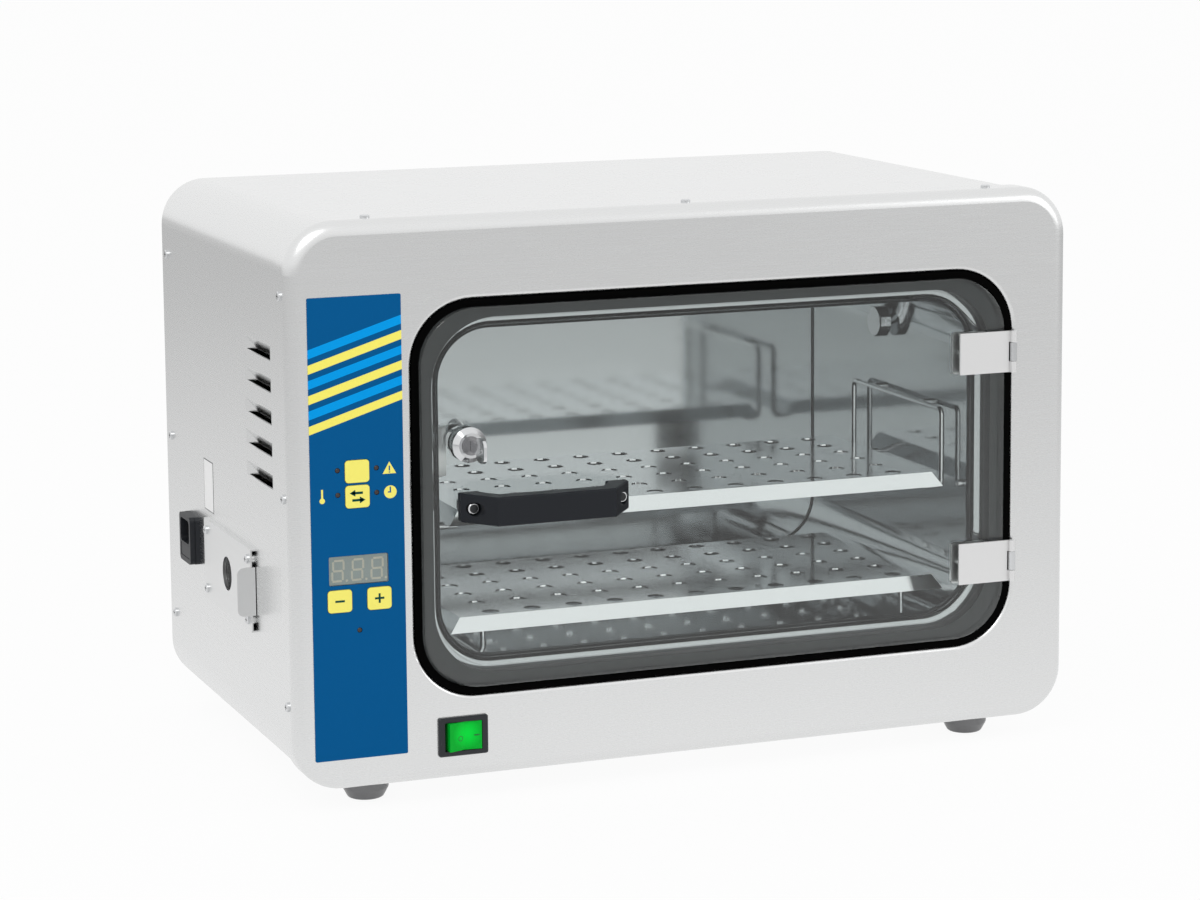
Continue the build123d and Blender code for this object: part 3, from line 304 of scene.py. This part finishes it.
def grained(name, colour, roughness, stretch_by, spread=0.05, bump=0.02):
    """Metal whose roughness and surface vary a little, stretched along its grain."""
    look, tree, shader = new_material(name)
    nodes, links = tree.nodes, tree.links
    shader.inputs["Base Color"].default_value = (*colour, 1)
    shader.inputs["Metallic"].default_value = 1.0
    place = nodes.new("ShaderNodeTexCoord")
    scale = nodes.new("ShaderNodeMapping")
    scale.inputs["Scale"].default_value = stretch_by
    links.new(place.outputs["Object"], scale.inputs["Vector"])
    noise = nodes.new("ShaderNodeTexNoise")
    noise.inputs["Scale"].default_value = 1.0
    noise.inputs["Detail"].default_value = 3.0
    links.new(scale.outputs["Vector"], noise.inputs["Vector"])
    span = nodes.new("ShaderNodeMapRange")
    span.inputs["To Min"].default_value = roughness - spread
    span.inputs["To Max"].default_value = roughness + spread
    links.new(noise.outputs["Fac"], span.inputs["Value"])
    links.new(span.outputs["Result"], shader.inputs["Roughness"])
    if bump:
        relief = nodes.new("ShaderNodeBump")
        relief.inputs["Strength"].default_value = bump
        relief.inputs["Distance"].default_value = 0.0002
        links.new(noise.outputs["Fac"], relief.inputs["Height"])
        links.new(relief.outputs["Normal"], shader.inputs["Normal"])
    return look


def clear_glass(name, tint):
    """Thin clear glass: light goes straight through, and its surface mirrors by the viewing angle."""
    look, tree, shader = new_material(name)
    nodes, links = tree.nodes, tree.links
    nodes.remove(shader)
    through = nodes.new("ShaderNodeBsdfTransparent")
    through.inputs["Color"].default_value = (*tint, 1)
    shine = nodes.new("ShaderNodeBsdfGlossy")
    shine.inputs["Roughness"].default_value = 0.0
    shine.inputs["Color"].default_value = (1, 1, 1, 1)
    angle = nodes.new("ShaderNodeFresnel")
    angle.inputs["IOR"].default_value = 1.45
    mixed = nodes.new("ShaderNodeMixShader")
    links.new(angle.outputs["Fac"], mixed.inputs["Fac"])
    links.new(through.outputs["BSDF"], mixed.inputs[1])
    links.new(shine.outputs["BSDF"], mixed.inputs[2])
    links.new(mixed.outputs["Shader"], nodes["Material Output"].inputs["Surface"])
    return look


def math_node(tree, operation, first, second):
    """Math node; each operand is a socket or a number."""
    node = tree.nodes.new("ShaderNodeMath")
    node.operation = operation
    for place, value in zip(node.inputs, (first, second)):
        if isinstance(value, (int, float)):
            place.default_value = value
        else:
            tree.links.new(value, place)
    return node.outputs[0]


def striped_film(values):
    """Panel film with three pairs of slanting stripes, by the height above a slanting base line."""
    look, tree, shader = new_material("panel_film")
    nodes, links = tree.nodes, tree.links
    place = nodes.new("ShaderNodeTexCoord")
    split = nodes.new("ShaderNodeSeparateXYZ")
    links.new(place.outputs["Object"], split.inputs["Vector"])
    run = math_node(tree, "SUBTRACT", split.outputs["X"], OVERLAY_LOW.x)
    rise = math_node(tree, "MULTIPLY", run, values.stripe_slope)
    level = math_node(tree, "SUBTRACT", OVERLAY_HIGH.z - values.stripe_drop, split.outputs["Z"])
    below = math_node(tree, "ADD", level, rise)
    count = 6
    whole = math_node(tree, "DIVIDE", below, count * values.stripe_pitch)
    bands = nodes.new("ShaderNodeValToRGB")
    bands.color_ramp.interpolation = "CONSTANT"
    ramp = bands.color_ramp.elements
    ramp[0].position = 0.0
    ramp[0].color = (*values.stripe_blue, 1)
    ramp[1].position = values.stripe_height / (count * values.stripe_pitch)
    ramp[1].color = (*values.colour, 1)
    for index in range(1, count):
        start = ramp.new(index / count)
        start.color = (*(values.yellow if index % 2 else values.stripe_blue), 1)
        end = ramp.new((index + values.stripe_height / values.stripe_pitch) / count)
        end.color = (*values.colour, 1)
    links.new(whole, bands.inputs["Fac"])
    above = math_node(tree, "GREATER_THAN", whole, 0.0)
    mixed = nodes.new("ShaderNodeMix")
    mixed.data_type = "RGBA"
    mixed.inputs["A"].default_value = (*values.colour, 1)
    links.new(above, mixed.inputs["Factor"])
    links.new(bands.outputs["Color"], mixed.inputs["B"])
    links.new(mixed.outputs["Result"], shader.inputs["Base Color"])
    shader.inputs["Roughness"].default_value = FILM_ROUGHNESS
    shader.inputs["Specular IOR Level"].default_value = FILM_SHINE
    return look


def lit_rocker(values):
    """Green plastic lit from behind, brightest a little right of and above its middle."""
    look, tree, shader = new_material("rocker_green")
    nodes, links = tree.nodes, tree.links
    shader.inputs["Base Color"].default_value = (*values.rocker, 1)
    shader.inputs["Roughness"].default_value = 0.25
    shader.inputs["Specular IOR Level"].default_value = 0.1
    shader.inputs["Emission Color"].default_value = (*values.rocker, 1)
    low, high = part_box("power_rocker")
    middle = (low + high) / 2
    brightest = (middle.x + 1.5 * MM, low.y, middle.z + 1.0 * MM)
    dark_beyond = 10.0 * MM
    place = nodes.new("ShaderNodeTexCoord")
    reach = nodes.new("ShaderNodeVectorMath")
    reach.operation = "DISTANCE"
    links.new(place.outputs["Object"], reach.inputs[0])
    reach.inputs[1].default_value = brightest
    fade = nodes.new("ShaderNodeMapRange")
    fade.inputs["From Min"].default_value = 0.0
    fade.inputs["From Max"].default_value = dark_beyond
    fade.inputs["To Min"].default_value = values.rocker_glow
    fade.inputs["To Max"].default_value = 0.0
    links.new(reach.outputs["Value"], fade.inputs["Value"])
    links.new(fade.outputs["Result"], shader.inputs["Emission Strength"])
    return look


# Operators


class HEATCAB_OT_metals(bpy.types.Operator):
    """Satin, polished and bright metals on the frame's sheet, wire and small parts"""

    bl_idname = "heatcab.metals"
    bl_label = "Metals"

    def execute(self, context):
        values = settings("metal")
        case = grained("satin_steel", values.case_colour, values.case_roughness, (40, 40, 1400), 0.03, 0.01)
        paint(case, "front_fascia", "outer_casing", "rear_panel", "base_plate")
        small = grained("satin_small", values.case_colour, 0.30, (60, 60, 1500))
        paint(small, "vent_guide", "vent_slider", "vent_duct", "lock_keeper", "hinge_clamp_plates")
        liner = grained(
            "polished_liner", values.liner_colour, values.liner_roughness, (12, 12, 300), 0.02, 0.0
        )
        paint(liner, "chamber_liner")
        shelf = grained("polished_shelf", values.shelf_colour, 0.10, (20, 20, 200), 0.02, 0.0)
        paint(shelf, "shelf_upper", "shelf_lower")
        bright = plain("bright_metal", values.bright_colour, 0.14, 1.0)
        paint(
            bright, "side_rack_left", "side_rack_right", "shelf_runners", "temperature_probe", "lock_body",
            "lock_nut", "door_key", "lock_cam", "handle_washers", "handle_nuts", "hinge_frame_leaves",
        )
        paint(plain("lock_core", (0.30, 0.30, 0.31), 0.25, 1.0), "lock_plug")
        leaf = plain("hinge_leaf", (0.75, 0.75, 0.75), 0.40, 0.85)
        paint(leaf, "hinge_door_leaves")
        zinc = plain("zinc_steel", values.bright_colour, 0.26, 1.0)
        paint(
            zinc, "case_screws", "foot_screws", "hinge_pins", "hinge_screws", "handle_screws", "rack_studs",
            "overheat_thermostat",
        )
        brass = plain("tinned_brass", (0.65, 0.58, 0.42), 0.3, 1.0)
        paint(brass, "inlet_pins", "board_posts")
        return {"FINISHED"}


class HEATCAB_OT_plastics(bpy.types.Operator):
    """Plastic, rubber, wool and board finishes on the frame's other parts"""

    bl_idname = "heatcab.plastics"
    bl_label = "Plastics"

    def execute(self, context):
        values = settings("plastic")
        paint(plain("handle_plastic", values.black, 0.35, shine=0.2), "handle")
        paint(plain("bezel_plastic", values.black, 0.35, shine=0.4), "switch_housing")
        paint(plain("inlet_plastic", values.black, 0.45, shine=0.35), "mains_inlet", "fuse_drawer")
        paint(plain("gasket_rubber", values.rubber, 0.5), "door_gasket")
        foot = plain("foot_rubber", (0.22, 0.22, 0.225), 0.35)
        paint(foot, "foot_front_left", "foot_front_right", "foot_rear_left", "foot_rear_right")
        paint(lit_rocker(values), "power_rocker")
        paint(plain("mineral_wool", (0.6, 0.55, 0.42), 0.9), "insulation_wrap", "insulation_rear")
        paint(plain("heater_mat", (0.35, 0.08, 0.05), 0.6), "heater_bottom", "heater_rear")
        paint(plain("circuit_board", (0.03, 0.22, 0.08), 0.45), "control_board", "power_board")
        paint(plain("lamp_lens", (0.035, 0.022, 0.02), 0.25), "indicator_leds")
        return {"FINISHED"}


class HEATCAB_OT_glass(bpy.types.Operator):
    """Clear glass of the door and the fuse"""

    bl_idname = "heatcab.glass"
    bl_label = "Glass"

    def execute(self, context):
        paint(clear_glass("door_glass_clear", (0.965, 0.98, 0.975)), "door_glass")
        paint(clear_glass("fuse_glass_clear", (0.95, 0.97, 0.97)), "fuse")
        return {"FINISHED"}


class HEATCAB_OT_panel_film(bpy.types.Operator):
    """Striped panel film and its yellow keys"""

    bl_idname = "heatcab.panel_film"
    bl_label = "Panel film"

    def execute(self, context):
        values = settings("panel")
        paint(striped_film(values), "control_overlay")
        paint(plain("key_yellow", values.yellow, 0.4), "start_key", "mode_key", "minus_key", "plus_key")
        return {"FINISHED"}


def key_face(node):
    """Middle of a key's front face."""
    low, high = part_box(node)
    return Vector(((low.x + high.x) / 2, low.y, (low.z + high.z) / 2))


def bar_on(face, x, z, thickness):
    """Thin printed bar on a face that looks forward; x and z are its limits from the middle.

    Bars that cross get slightly different thicknesses, so that no two faces share a plane.
    """
    return add_block(
        (face.x + x[0] * MM, face.y - thickness, face.z + z[0] * MM),
        (face.x + x[1] * MM, face.y + thickness, face.z + z[1] * MM),
    )


def arrow_on(face, way, z, thickness):
    """Thin printed arrow that points left or right: a shaft and a three-sided head."""
    half_length, half_stroke, head_shift, head_radius = 3.4, 0.75, 2.6, 2.4
    shaft = bar_on(face, (-half_length, half_length), (z - half_stroke, z + half_stroke), thickness)
    center = (face.x + way * head_shift * MM, face.y, face.z + z * MM)
    head = add_disc(center, head_radius * MM, 2 * thickness, 3)
    spin(head, math.radians(-90 * way), center)
    return [shaft, head]


class HEATCAB_OT_key_signs(bpy.types.Operator):
    """Minus, plus and swap signs on the keys"""

    bl_idname = "heatcab.key_signs"
    bl_label = "Key signs"

    def execute(self, context):
        values = settings("panel")
        ink = plain("sign_ink", INK_GREEN, 0.4, shine=0.1)
        thickness = values.sign_thickness
        length, stroke, arrow_shift = (-3.0, 3.0), (-0.65, 0.65), 2.2
        face = key_face("minus_key")
        minus = merge("minus_sign", [bar_on(face, length, stroke, thickness)])
        give(minus, ink, "minus_button")
        face = key_face("plus_key")
        strokes = [
            bar_on(face, length, stroke, thickness),
            bar_on(face, stroke, length, 0.9 * thickness),
        ]
        give(merge("plus_sign", strokes), ink, "plus_button")
        face = key_face("mode_key")
        strokes = arrow_on(face, -1, arrow_shift, thickness)
        strokes += arrow_on(face, 1, -arrow_shift, thickness)
        give(merge("swap_sign", strokes), ink, "mode_button")
        return {"FINISHED"}


def panel_point(x, z):
    """Point on the film's face, from the middle of its width and from its lower edge, in millimetres."""
    return Vector(((OVERLAY_LOW.x + OVERLAY_HIGH.x) / 2 + x * MM, OVERLAY_LOW.y, OVERLAY_LOW.z + z * MM))


class HEATCAB_OT_panel_signs(bpy.types.Operator):
    """Warning, timer and temperature signs beside the lamps"""

    bl_idname = "heatcab.panel_signs"
    bl_label = "Panel signs"

    def execute(self, context):
        values = settings("panel")
        thickness = values.sign_thickness
        ink = plain("sign_yellow", values.yellow, 0.4)
        film = plain("sign_film", values.colour, FILM_ROUGHNESS, shine=FILM_SHINE)
        stroke = (-0.45, 0.45)
        point = panel_point(20.5, 178.0)
        triangle = add_disc(point, 5.0 * MM, 2 * thickness, 3)
        soften(triangle, 0.9 * MM, 3)
        give(merge("warning_sign", [triangle]), ink, "cabinet")
        marks = [
            bar_on(point, stroke, (-0.6, 2.4), 1.5 * thickness),
            bar_on(point, stroke, (-1.9, -1.2), 1.5 * thickness),
        ]
        give(merge("warning_mark", marks), film, "cabinet")
        point = panel_point(20.9, 164.2)
        face = add_disc(point, 4.0 * MM, 2 * thickness)
        give(merge("timer_sign", [face]), ink, "cabinet")
        hands = [
            bar_on(point, stroke, (-0.45, 3.2), 1.5 * thickness),
            bar_on(point, (-1.6, 0.45), (-0.45, 0.35), 1.4 * thickness),
        ]
        give(merge("timer_hands", hands), film, "cabinet")
        point = panel_point(-22.2, 164.2)
        bulb = add_disc(point - Vector((0, 0, 2.6 * MM)), 1.7 * MM, 2 * thickness)
        stem = bar_on(point, (-0.6, 0.6), (-2.2, 4.4), 0.95 * thickness)
        give(merge("temperature_sign", [bulb, stem]), ink, "cabinet")
        return {"FINISHED"}


def segment(x, z, upright, length, width, y):
    """One long hexagon of a digit, lying or upright, behind the window."""
    obj = add_disc((x, y, z), width / 2, THIN, 6)
    if upright:
        stretch(obj, 2, z, length / 2)
    else:
        spin(obj, math.pi / 2, (x, y, z))
        stretch(obj, 0, x, length / 2)
    return obj


class HEATCAB_OT_display(bpy.types.Operator):
    """Grey display face with three unlit digits behind a clear lens"""

    bl_idname = "heatcab.display"
    bl_label = "Display"

    def execute(self, context):
        paint(plain("display_face", (0.56, 0.67, 0.67), 0.5), "display_module")
        paint(clear_glass("display_lens", (0.93, 0.93, 0.92)), "display_window")
        unlit = plain("segment_unlit", (0.97, 0.98, 0.86), 0.5)
        middle = (WINDOW_LOW + WINDOW_HIGH) / 2
        y = WINDOW_HIGH.y + 0.12 * MM
        digit_width, digit_height, stroke = 6.6 * MM, 12.6 * MM, 1.5 * MM
        digit_pitch, shift_left, lean = 12.4 * MM, 0.6 * MM, 0.10
        dot_radius, dot_gap = 0.8 * MM, 2.2 * MM
        parts = []
        for index in range(3):
            x = middle.x + (index - 1) * digit_pitch - shift_left
            for z in (-1, 0, 1):
                shift = lean * z * digit_height / 2
                place = middle.z + z * digit_height / 2
                parts.append(segment(x + shift, place, False, digit_width - stroke * 1.2, stroke, y))
            for side in (-1, 1):
                for z in (-1, 1):
                    shift = lean * z * digit_height / 4
                    place = middle.z + z * digit_height / 4
                    at = x + side * digit_width / 2 + shift
                    parts.append(segment(at, place, True, digit_height / 2 - stroke * 1.5, stroke, y))
            dot_place = (x + digit_width / 2 + dot_gap, y, middle.z - digit_height / 2)
            parts.append(add_disc(dot_place, dot_radius, THIN, 16))
        give(merge("display_digits", parts), unlit, "cabinet")
        return {"FINISHED"}


class HEATCAB_OT_rocker_marks(bpy.types.Operator):
    """Ring and bar marks on the two sides of the rocker"""

    bl_idname = "heatcab.rocker_marks"
    bl_label = "Rocker marks"

    def execute(self, context):
        ink = plain("rocker_mark", (0.0, 0.10, 0.02), 0.4)
        low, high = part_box("switch_housing")
        middle = (low + high) / 2
        front = FASCIA_LOW.y
        ring_place = (middle.x - 2.2 * MM, front - 1.9 * MM, middle.z - 1.4 * MM)
        ring = add_ring(ring_place, 1.5 * MM, 0.3 * MM, ROCKER_SLOPE)
        half_stroke = 0.35 * MM
        bar = add_block(
            (middle.x + 6.9 * MM, front - 2.0 * MM, middle.z - half_stroke),
            (middle.x + 10.2 * MM, front - 1.5 * MM, middle.z + half_stroke),
        )
        give(merge("rocker_marks", [ring, bar]), ink, "rocker")
        return {"FINISHED"}


class HEATCAB_OT_screw_recesses(bpy.types.Operator):
    """Cross recesses in the screw heads of the left side, drawn as thin dark crosses of painted shade"""

    bl_idname = "heatcab.screw_recesses"
    bl_label = "Screw recesses"

    def execute(self, context):
        values = settings("detail")
        # Painted shade: the dark crosses stand in for the shade inside each screw's cross recess.
        dark = plain("recess_painted_shade", (0.05, 0.05, 0.05), 0.6)
        head, guide_inset = 1.8 * MM, 7.0 * MM
        height = FASCIA_HIGH.z - FASCIA_LOW.z
        # The side each row of the case's screws is on, its depth behind the front and its heights.
        rows = (
            (FASCIA_LOW.x, 13.0 * MM, (53.0 * MM, height / 2 + 6.5 * MM, height - 45.0 * MM)),
            (CASING_LOW.x, 298.0 * MM, (53.0 * MM, height / 2 + 0.5 * MM, height - 51.0 * MM)),
        )
        places = []
        for x, back, heights in rows:
            for up in heights:
                places.append((x - head, FASCIA_LOW.y + back, FASCIA_LOW.z + up))
        for y in (GUIDE_LOW.y + guide_inset, GUIDE_HIGH.y - guide_inset):
            for z in (GUIDE_LOW.z + guide_inset, GUIDE_HIGH.z - guide_inset):
                places.append((GUIDE_LOW.x - head, y, z))
        half, thin, depth = values.cross_length / 2, 0.35 * MM, 0.02 * MM
        parts = []
        for x, y, z in places:
            parts.append(add_block((x - depth, y - half, z - thin), (x + depth, y + half, z + thin)))
            parts.append(add_block((x - depth, y - thin, z - half), (x + 0.9 * depth, y + thin, z + half)))
        give(merge("screw_recesses", parts), dark, "cabinet")
        return {"FINISHED"}


def rounded_plate(center, size, corner, y, segments):
    """Flat rounded rectangle that looks forward, left selected in edit mode."""
    clear_selection()
    bpy.ops.mesh.primitive_plane_add(
        size=1, location=(center[0], y, center[1]), rotation=(math.pi / 2, 0, 0)
    )
    obj = bpy.context.object
    obj.scale = (size[0], size[1], 1)
    apply_place(obj)
    bpy.ops.object.mode_set(mode="EDIT")
    bpy.ops.mesh.select_all(action="SELECT")
    bpy.ops.mesh.bevel(offset=corner, segments=segments, affect="VERTICES")
    return obj


def rounded_loop(center, size, corner, y, radius):
    """Round bead that follows a rounded rectangle seen from the front."""
    rounded_plate(center, size, corner, y, 10)
    bpy.ops.mesh.delete(type="ONLY_FACE")
    bpy.ops.object.mode_set(mode="OBJECT")
    bpy.ops.object.convert(target="CURVE")
    obj = bpy.context.object
    obj.data.bevel_depth = radius
    obj.data.bevel_resolution = 3
    bpy.ops.object.convert(target="MESH")
    return bpy.context.object


class HEATCAB_OT_gasket_lips(bpy.types.Operator):
    """Black lip of the gasket between the glass and the opening"""

    bl_idname = "heatcab.gasket_lips"
    bl_label = "Gasket lips"

    def execute(self, context):
        values = settings("detail")
        low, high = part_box("door_gasket")
        center = ((low.x + high.x) / 2, (low.z + high.z) / 2)
        front, corner, overlap = FASCIA_LOW.y + 0.8 * MM, 39.7 * MM, 0.2 * MM
        lip = rounded_plate(center, (high.x - low.x, high.z - low.z), corner, front, 14)
        bpy.ops.mesh.select_all(action="SELECT")
        bpy.ops.mesh.inset(thickness=values.lip_width)
        bpy.ops.mesh.delete(type="FACE")
        bpy.ops.object.mode_set(mode="OBJECT")
        modifier(lip, "SOLIDIFY", thickness=low.y + overlap - front, offset=-1)
        rubber = plain("gasket_lip_rubber", (0.001, 0.001, 0.001), 0.7, shine=0.02)
        give(merge("gasket_lip", [lip]), rubber, "cabinet")
        return {"FINISHED"}


class HEATCAB_OT_handle_sockets(bpy.types.Operator):
    """Sockets in the heads of the handle's screws, drawn as dark discs of painted shade and painted
    reflection
    """

    bl_idname = "heatcab.handle_sockets"
    bl_label = "Handle sockets"

    def execute(self, context):
        low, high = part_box("handle_screws")
        radius = (high.z - low.z) / 2
        middle_z = (low.z + high.z) / 2
        socket_share = 0.76
        sockets = []
        for x in (low.x + radius, high.x - radius):
            sockets.append(add_disc((x, low.y, middle_z), socket_share * radius, THIN))
        # Painted shade and painted reflection: a dark disc on each chrome head stands in for the socket's
        # shade and the head's dark reflection, leaving a bright rim.
        dark = plain("socket_painted_shade", (0.012, 0.014, 0.016), 0.3)
        give(merge("handle_sockets", sockets), dark, "door")
        return {"FINISHED"}


class HEATCAB_OT_liner_seam(bpy.types.Operator):
    """Seam where the chamber's flat back is welded into its rounded tube"""

    bl_idname = "heatcab.liner_seam"
    bl_label = "Liner seam"

    def execute(self, context):
        values = settings("detail")
        center = ((LINER_LOW.x + LINER_HIGH.x) / 2, (LINER_LOW.z + LINER_HIGH.z) / 2)
        flange, sheet, corner = 24.0 * MM, 1.0 * MM, 32.5 * MM
        inset = 2 * (flange + values.seam_radius)
        size = (LINER_HIGH.x - LINER_LOW.x - inset, LINER_HIGH.z - LINER_LOW.z - inset)
        y = LINER_HIGH.y - sheet - values.seam_radius
        bead = rounded_loop(center, size, corner, y, values.seam_radius)
        smooth(bead, 60)
        dull = plain("seam_metal", (0.20, 0.20, 0.20), 0.5, 1.0)
        give(merge("liner_seam", [bead]), dull, "cabinet")
        return {"FINISHED"}


class HEATCAB_OT_side_label(bpy.types.Operator):
    """Bare white label with a thin dark border, on the left side"""

    bl_idname = "heatcab.side_label"
    bl_label = "Side label"

    def execute(self, context):
        x = CASING_LOW.x
        y = FASCIA_LOW.y + 190.3 * MM
        z = FASCIA_LOW.z + 141.3 * MM
        width, height, line = 21.9 * MM, 32.7 * MM, 0.6 * MM
        inside, label_face, border_face = x + 0.05 * MM, x - 0.12 * MM, x - 0.08 * MM
        label = add_block((label_face, y, z), (inside, y + width, z + height))
        white = plain("label_white", (0.92, 0.92, 0.92), 0.45)
        give(merge("blank_label", [label]), white, "cabinet")
        border = add_block(
            (border_face, y - line, z - line), (inside, y + width + line, z + height + line)
        )
        edge = plain("label_edge", (0.08, 0.09, 0.09), 0.45)
        give(merge("label_border", [border]), edge, "cabinet")
        return {"FINISHED"}


def aim_camera():
    """Camera solved from the photograph."""
    place = Vector((-0.82020, -2.13636, 0.59555))
    yaw, pitch, roll = 0.37135, 0.14226, -0.00738
    ahead = Vector((math.sin(yaw) * math.cos(pitch), math.cos(yaw) * math.cos(pitch), -math.sin(pitch)))
    right = ahead.cross(Vector((0, 0, 1))).normalized()
    up = right.cross(ahead)
    right, up = (
        math.cos(roll) * right + math.sin(roll) * up,
        -math.sin(roll) * right + math.cos(roll) * up,
    )
    turn = Matrix((right, up, -ahead)).transposed()
    clear_selection()
    bpy.ops.object.camera_add(location=place, rotation=turn.to_euler())
    camera = bpy.context.object
    camera.data.sensor_width = 36.0
    camera.data.lens = settings("stage").lens
    camera.data.shift_x = -0.02015
    camera.data.shift_y = -0.09944
    camera.data.clip_start = 0.05
    camera.data.clip_end = 100.0
    bpy.context.scene.camera = camera


def seen_directly(tree):
    """1 for rays that show the surroundings: straight from the camera, in a mirror or through glass."""
    path = tree.nodes.new("ShaderNodeLightPath")
    first = math_node(tree, "MAXIMUM", path.outputs["Is Camera Ray"], path.outputs["Is Glossy Ray"])
    return math_node(tree, "MAXIMUM", first, path.outputs["Is Transmission Ray"])


def white_world(strength):
    """Surroundings that look white and light the object more softly."""
    world = bpy.data.worlds.new("surroundings")
    bpy.context.scene.world = world
    world.use_nodes = True
    tree = world.node_tree
    nodes, links = tree.nodes, tree.links
    room = nodes["Background"]
    room.inputs["Color"].default_value = (1, 1, 1, 1)
    room.inputs["Strength"].default_value = strength
    shown = nodes.new("ShaderNodeBackground")
    shown.inputs["Color"].default_value = (1, 1, 1, 1)
    shown.inputs["Strength"].default_value = 1.0
    mixed = nodes.new("ShaderNodeMixShader")
    links.new(seen_directly(tree), mixed.inputs["Fac"])
    links.new(room.outputs["Background"], mixed.inputs[1])
    links.new(shown.outputs["Background"], mixed.inputs[2])
    links.new(mixed.outputs["Shader"], nodes["World Output"].inputs["Surface"])


def mirrored_fall_off(tree):
    """1 straight from the camera; in a mirror, less and less away from the object."""
    near, far, largest_loss = 0.25, 2.6, 0.42
    place = tree.nodes.new("ShaderNodeTexCoord")
    reach = tree.nodes.new("ShaderNodeVectorMath")
    reach.operation = "LENGTH"
    tree.links.new(place.outputs["Object"], reach.inputs[0])
    fade = tree.nodes.new("ShaderNodeMapRange")
    fade.inputs["From Min"].default_value = near
    fade.inputs["From Max"].default_value = far
    fade.inputs["To Min"].default_value = 0.0
    fade.inputs["To Max"].default_value = largest_loss
    tree.links.new(reach.outputs["Value"], fade.inputs["Value"])
    path = tree.nodes.new("ShaderNodeLightPath")
    darker = math_node(tree, "MULTIPLY", fade.outputs["Result"], path.outputs["Is Glossy Ray"])
    return math_node(tree, "SUBTRACT", 1.0, darker)


def white_floor(size):
    """Floor that looks white and keeps a trace of the object's shadow."""
    below, glow_share = 0.3 * MM, 0.93
    clear_selection()
    bpy.ops.mesh.primitive_plane_add(size=size, location=(0, 0, -below))
    floor = bpy.context.object
    floor.name = "floor"
    look, tree, shader = new_material("floor_white")
    nodes, links = tree.nodes, tree.links
    shader.inputs["Base Color"].default_value = (0.9, 0.9, 0.9, 1)
    shader.inputs["Roughness"].default_value = 0.9
    glow = nodes.new("ShaderNodeEmission")
    glow.inputs["Color"].default_value = (1, 1, 1, 1)
    links.new(mirrored_fall_off(tree), glow.inputs["Strength"])
    mixed = nodes.new("ShaderNodeMixShader")
    share = math_node(tree, "MULTIPLY", seen_directly(tree), glow_share)
    links.new(share, mixed.inputs["Fac"])
    links.new(shader.outputs["BSDF"], mixed.inputs[1])
    links.new(glow.outputs["Emission"], mixed.inputs[2])
    links.new(mixed.outputs["Shader"], nodes["Material Output"].inputs["Surface"])
    floor.data.materials.append(look)


def lamp(name, place, target, size, power):
    clear_selection()
    way = Vector(target) - Vector(place)
    bpy.ops.object.light_add(type="AREA", location=place, rotation=way.to_track_quat("-Z", "Y").to_euler())
    obj = bpy.context.object
    obj.name = name
    obj.data.shape = "RECTANGLE"
    obj.data.size, obj.data.size_y = size
    obj.data.energy = power


class HEATCAB_OT_stage(bpy.types.Operator):
    """White floor and surroundings, lamps and camera"""

    bl_idname = "heatcab.stage"
    bl_label = "Stage"

    def execute(self, context):
        values = settings("stage")
        white_world(values.room_light)
        white_floor(values.floor_size)
        target = (0, 0, 0.2)
        lamp("lamp_key", (-1.2, -1.6, 2.2), target, (1.6, 1.2), values.lamp_power)
        lamp("lamp_fill", (1.8, -1.6, 1.0), target, (1.2, 1.2), values.fill_power)
        aim_camera()
        bpy.context.scene.view_settings.view_transform = "Standard"
        return {"FINISHED"}


PROPERTY_GROUPS = {
    "metal": HeatcabMetal,
    "plastic": HeatcabPlastic,
    "panel": HeatcabPanel,
    "detail": HeatcabDetail,
    "stage": HeatcabStage,
}
OPERATORS = [
    HEATCAB_OT_metals,
    HEATCAB_OT_plastics,
    HEATCAB_OT_glass,
    HEATCAB_OT_panel_film,
    HEATCAB_OT_key_signs,
    HEATCAB_OT_panel_signs,
    HEATCAB_OT_display,
    HEATCAB_OT_rocker_marks,
    HEATCAB_OT_screw_recesses,
    HEATCAB_OT_gasket_lips,
    HEATCAB_OT_handle_sockets,
    HEATCAB_OT_liner_seam,
    HEATCAB_OT_side_label,
    HEATCAB_OT_stage,
]


class HEATCAB_PT_sidebar(bpy.types.Panel):
    bl_idname = "HEATCAB_PT_sidebar"
    bl_label = "Heating Cabinet"
    bl_space_type = "VIEW_3D"
    bl_region_type = "UI"
    bl_category = "Heating Cabinet"

    def draw(self, context):
        for name, group in PROPERTY_GROUPS.items():
            box = self.layout.box()
            box.label(text=name.capitalize())
            for key in group.__annotations__:
                box.prop(settings(name), key)
        for operator in OPERATORS:
            self.layout.operator(operator.bl_idname)


def register():
    for name, group in PROPERTY_GROUPS.items():
        bpy.utils.register_class(group)
        setattr(bpy.types.Scene, "heatcab_" + name, PointerProperty(type=group))
    for operator in OPERATORS:
        bpy.utils.register_class(operator)
    bpy.utils.register_class(HEATCAB_PT_sidebar)


def unregister():
    bpy.utils.unregister_class(HEATCAB_PT_sidebar)
    for operator in reversed(OPERATORS):
        bpy.utils.unregister_class(operator)
    for name, group in reversed(PROPERTY_GROUPS.items()):
        delattr(bpy.types.Scene, "heatcab_" + name)
        bpy.utils.unregister_class(group)


def main():
    register()
    bpy.ops.heatcab.metals()
    bpy.ops.heatcab.plastics()
    bpy.ops.heatcab.glass()
    bpy.ops.heatcab.panel_film()
    bpy.ops.heatcab.key_signs()
    bpy.ops.heatcab.panel_signs()
    bpy.ops.heatcab.display()
    bpy.ops.heatcab.rocker_marks()
    bpy.ops.heatcab.screw_recesses()
    bpy.ops.heatcab.gasket_lips()
    bpy.ops.heatcab.handle_sockets()
    bpy.ops.heatcab.liner_seam()
    bpy.ops.heatcab.side_label()
    bpy.ops.heatcab.stage()


if __name__ == "__main__":
    main()
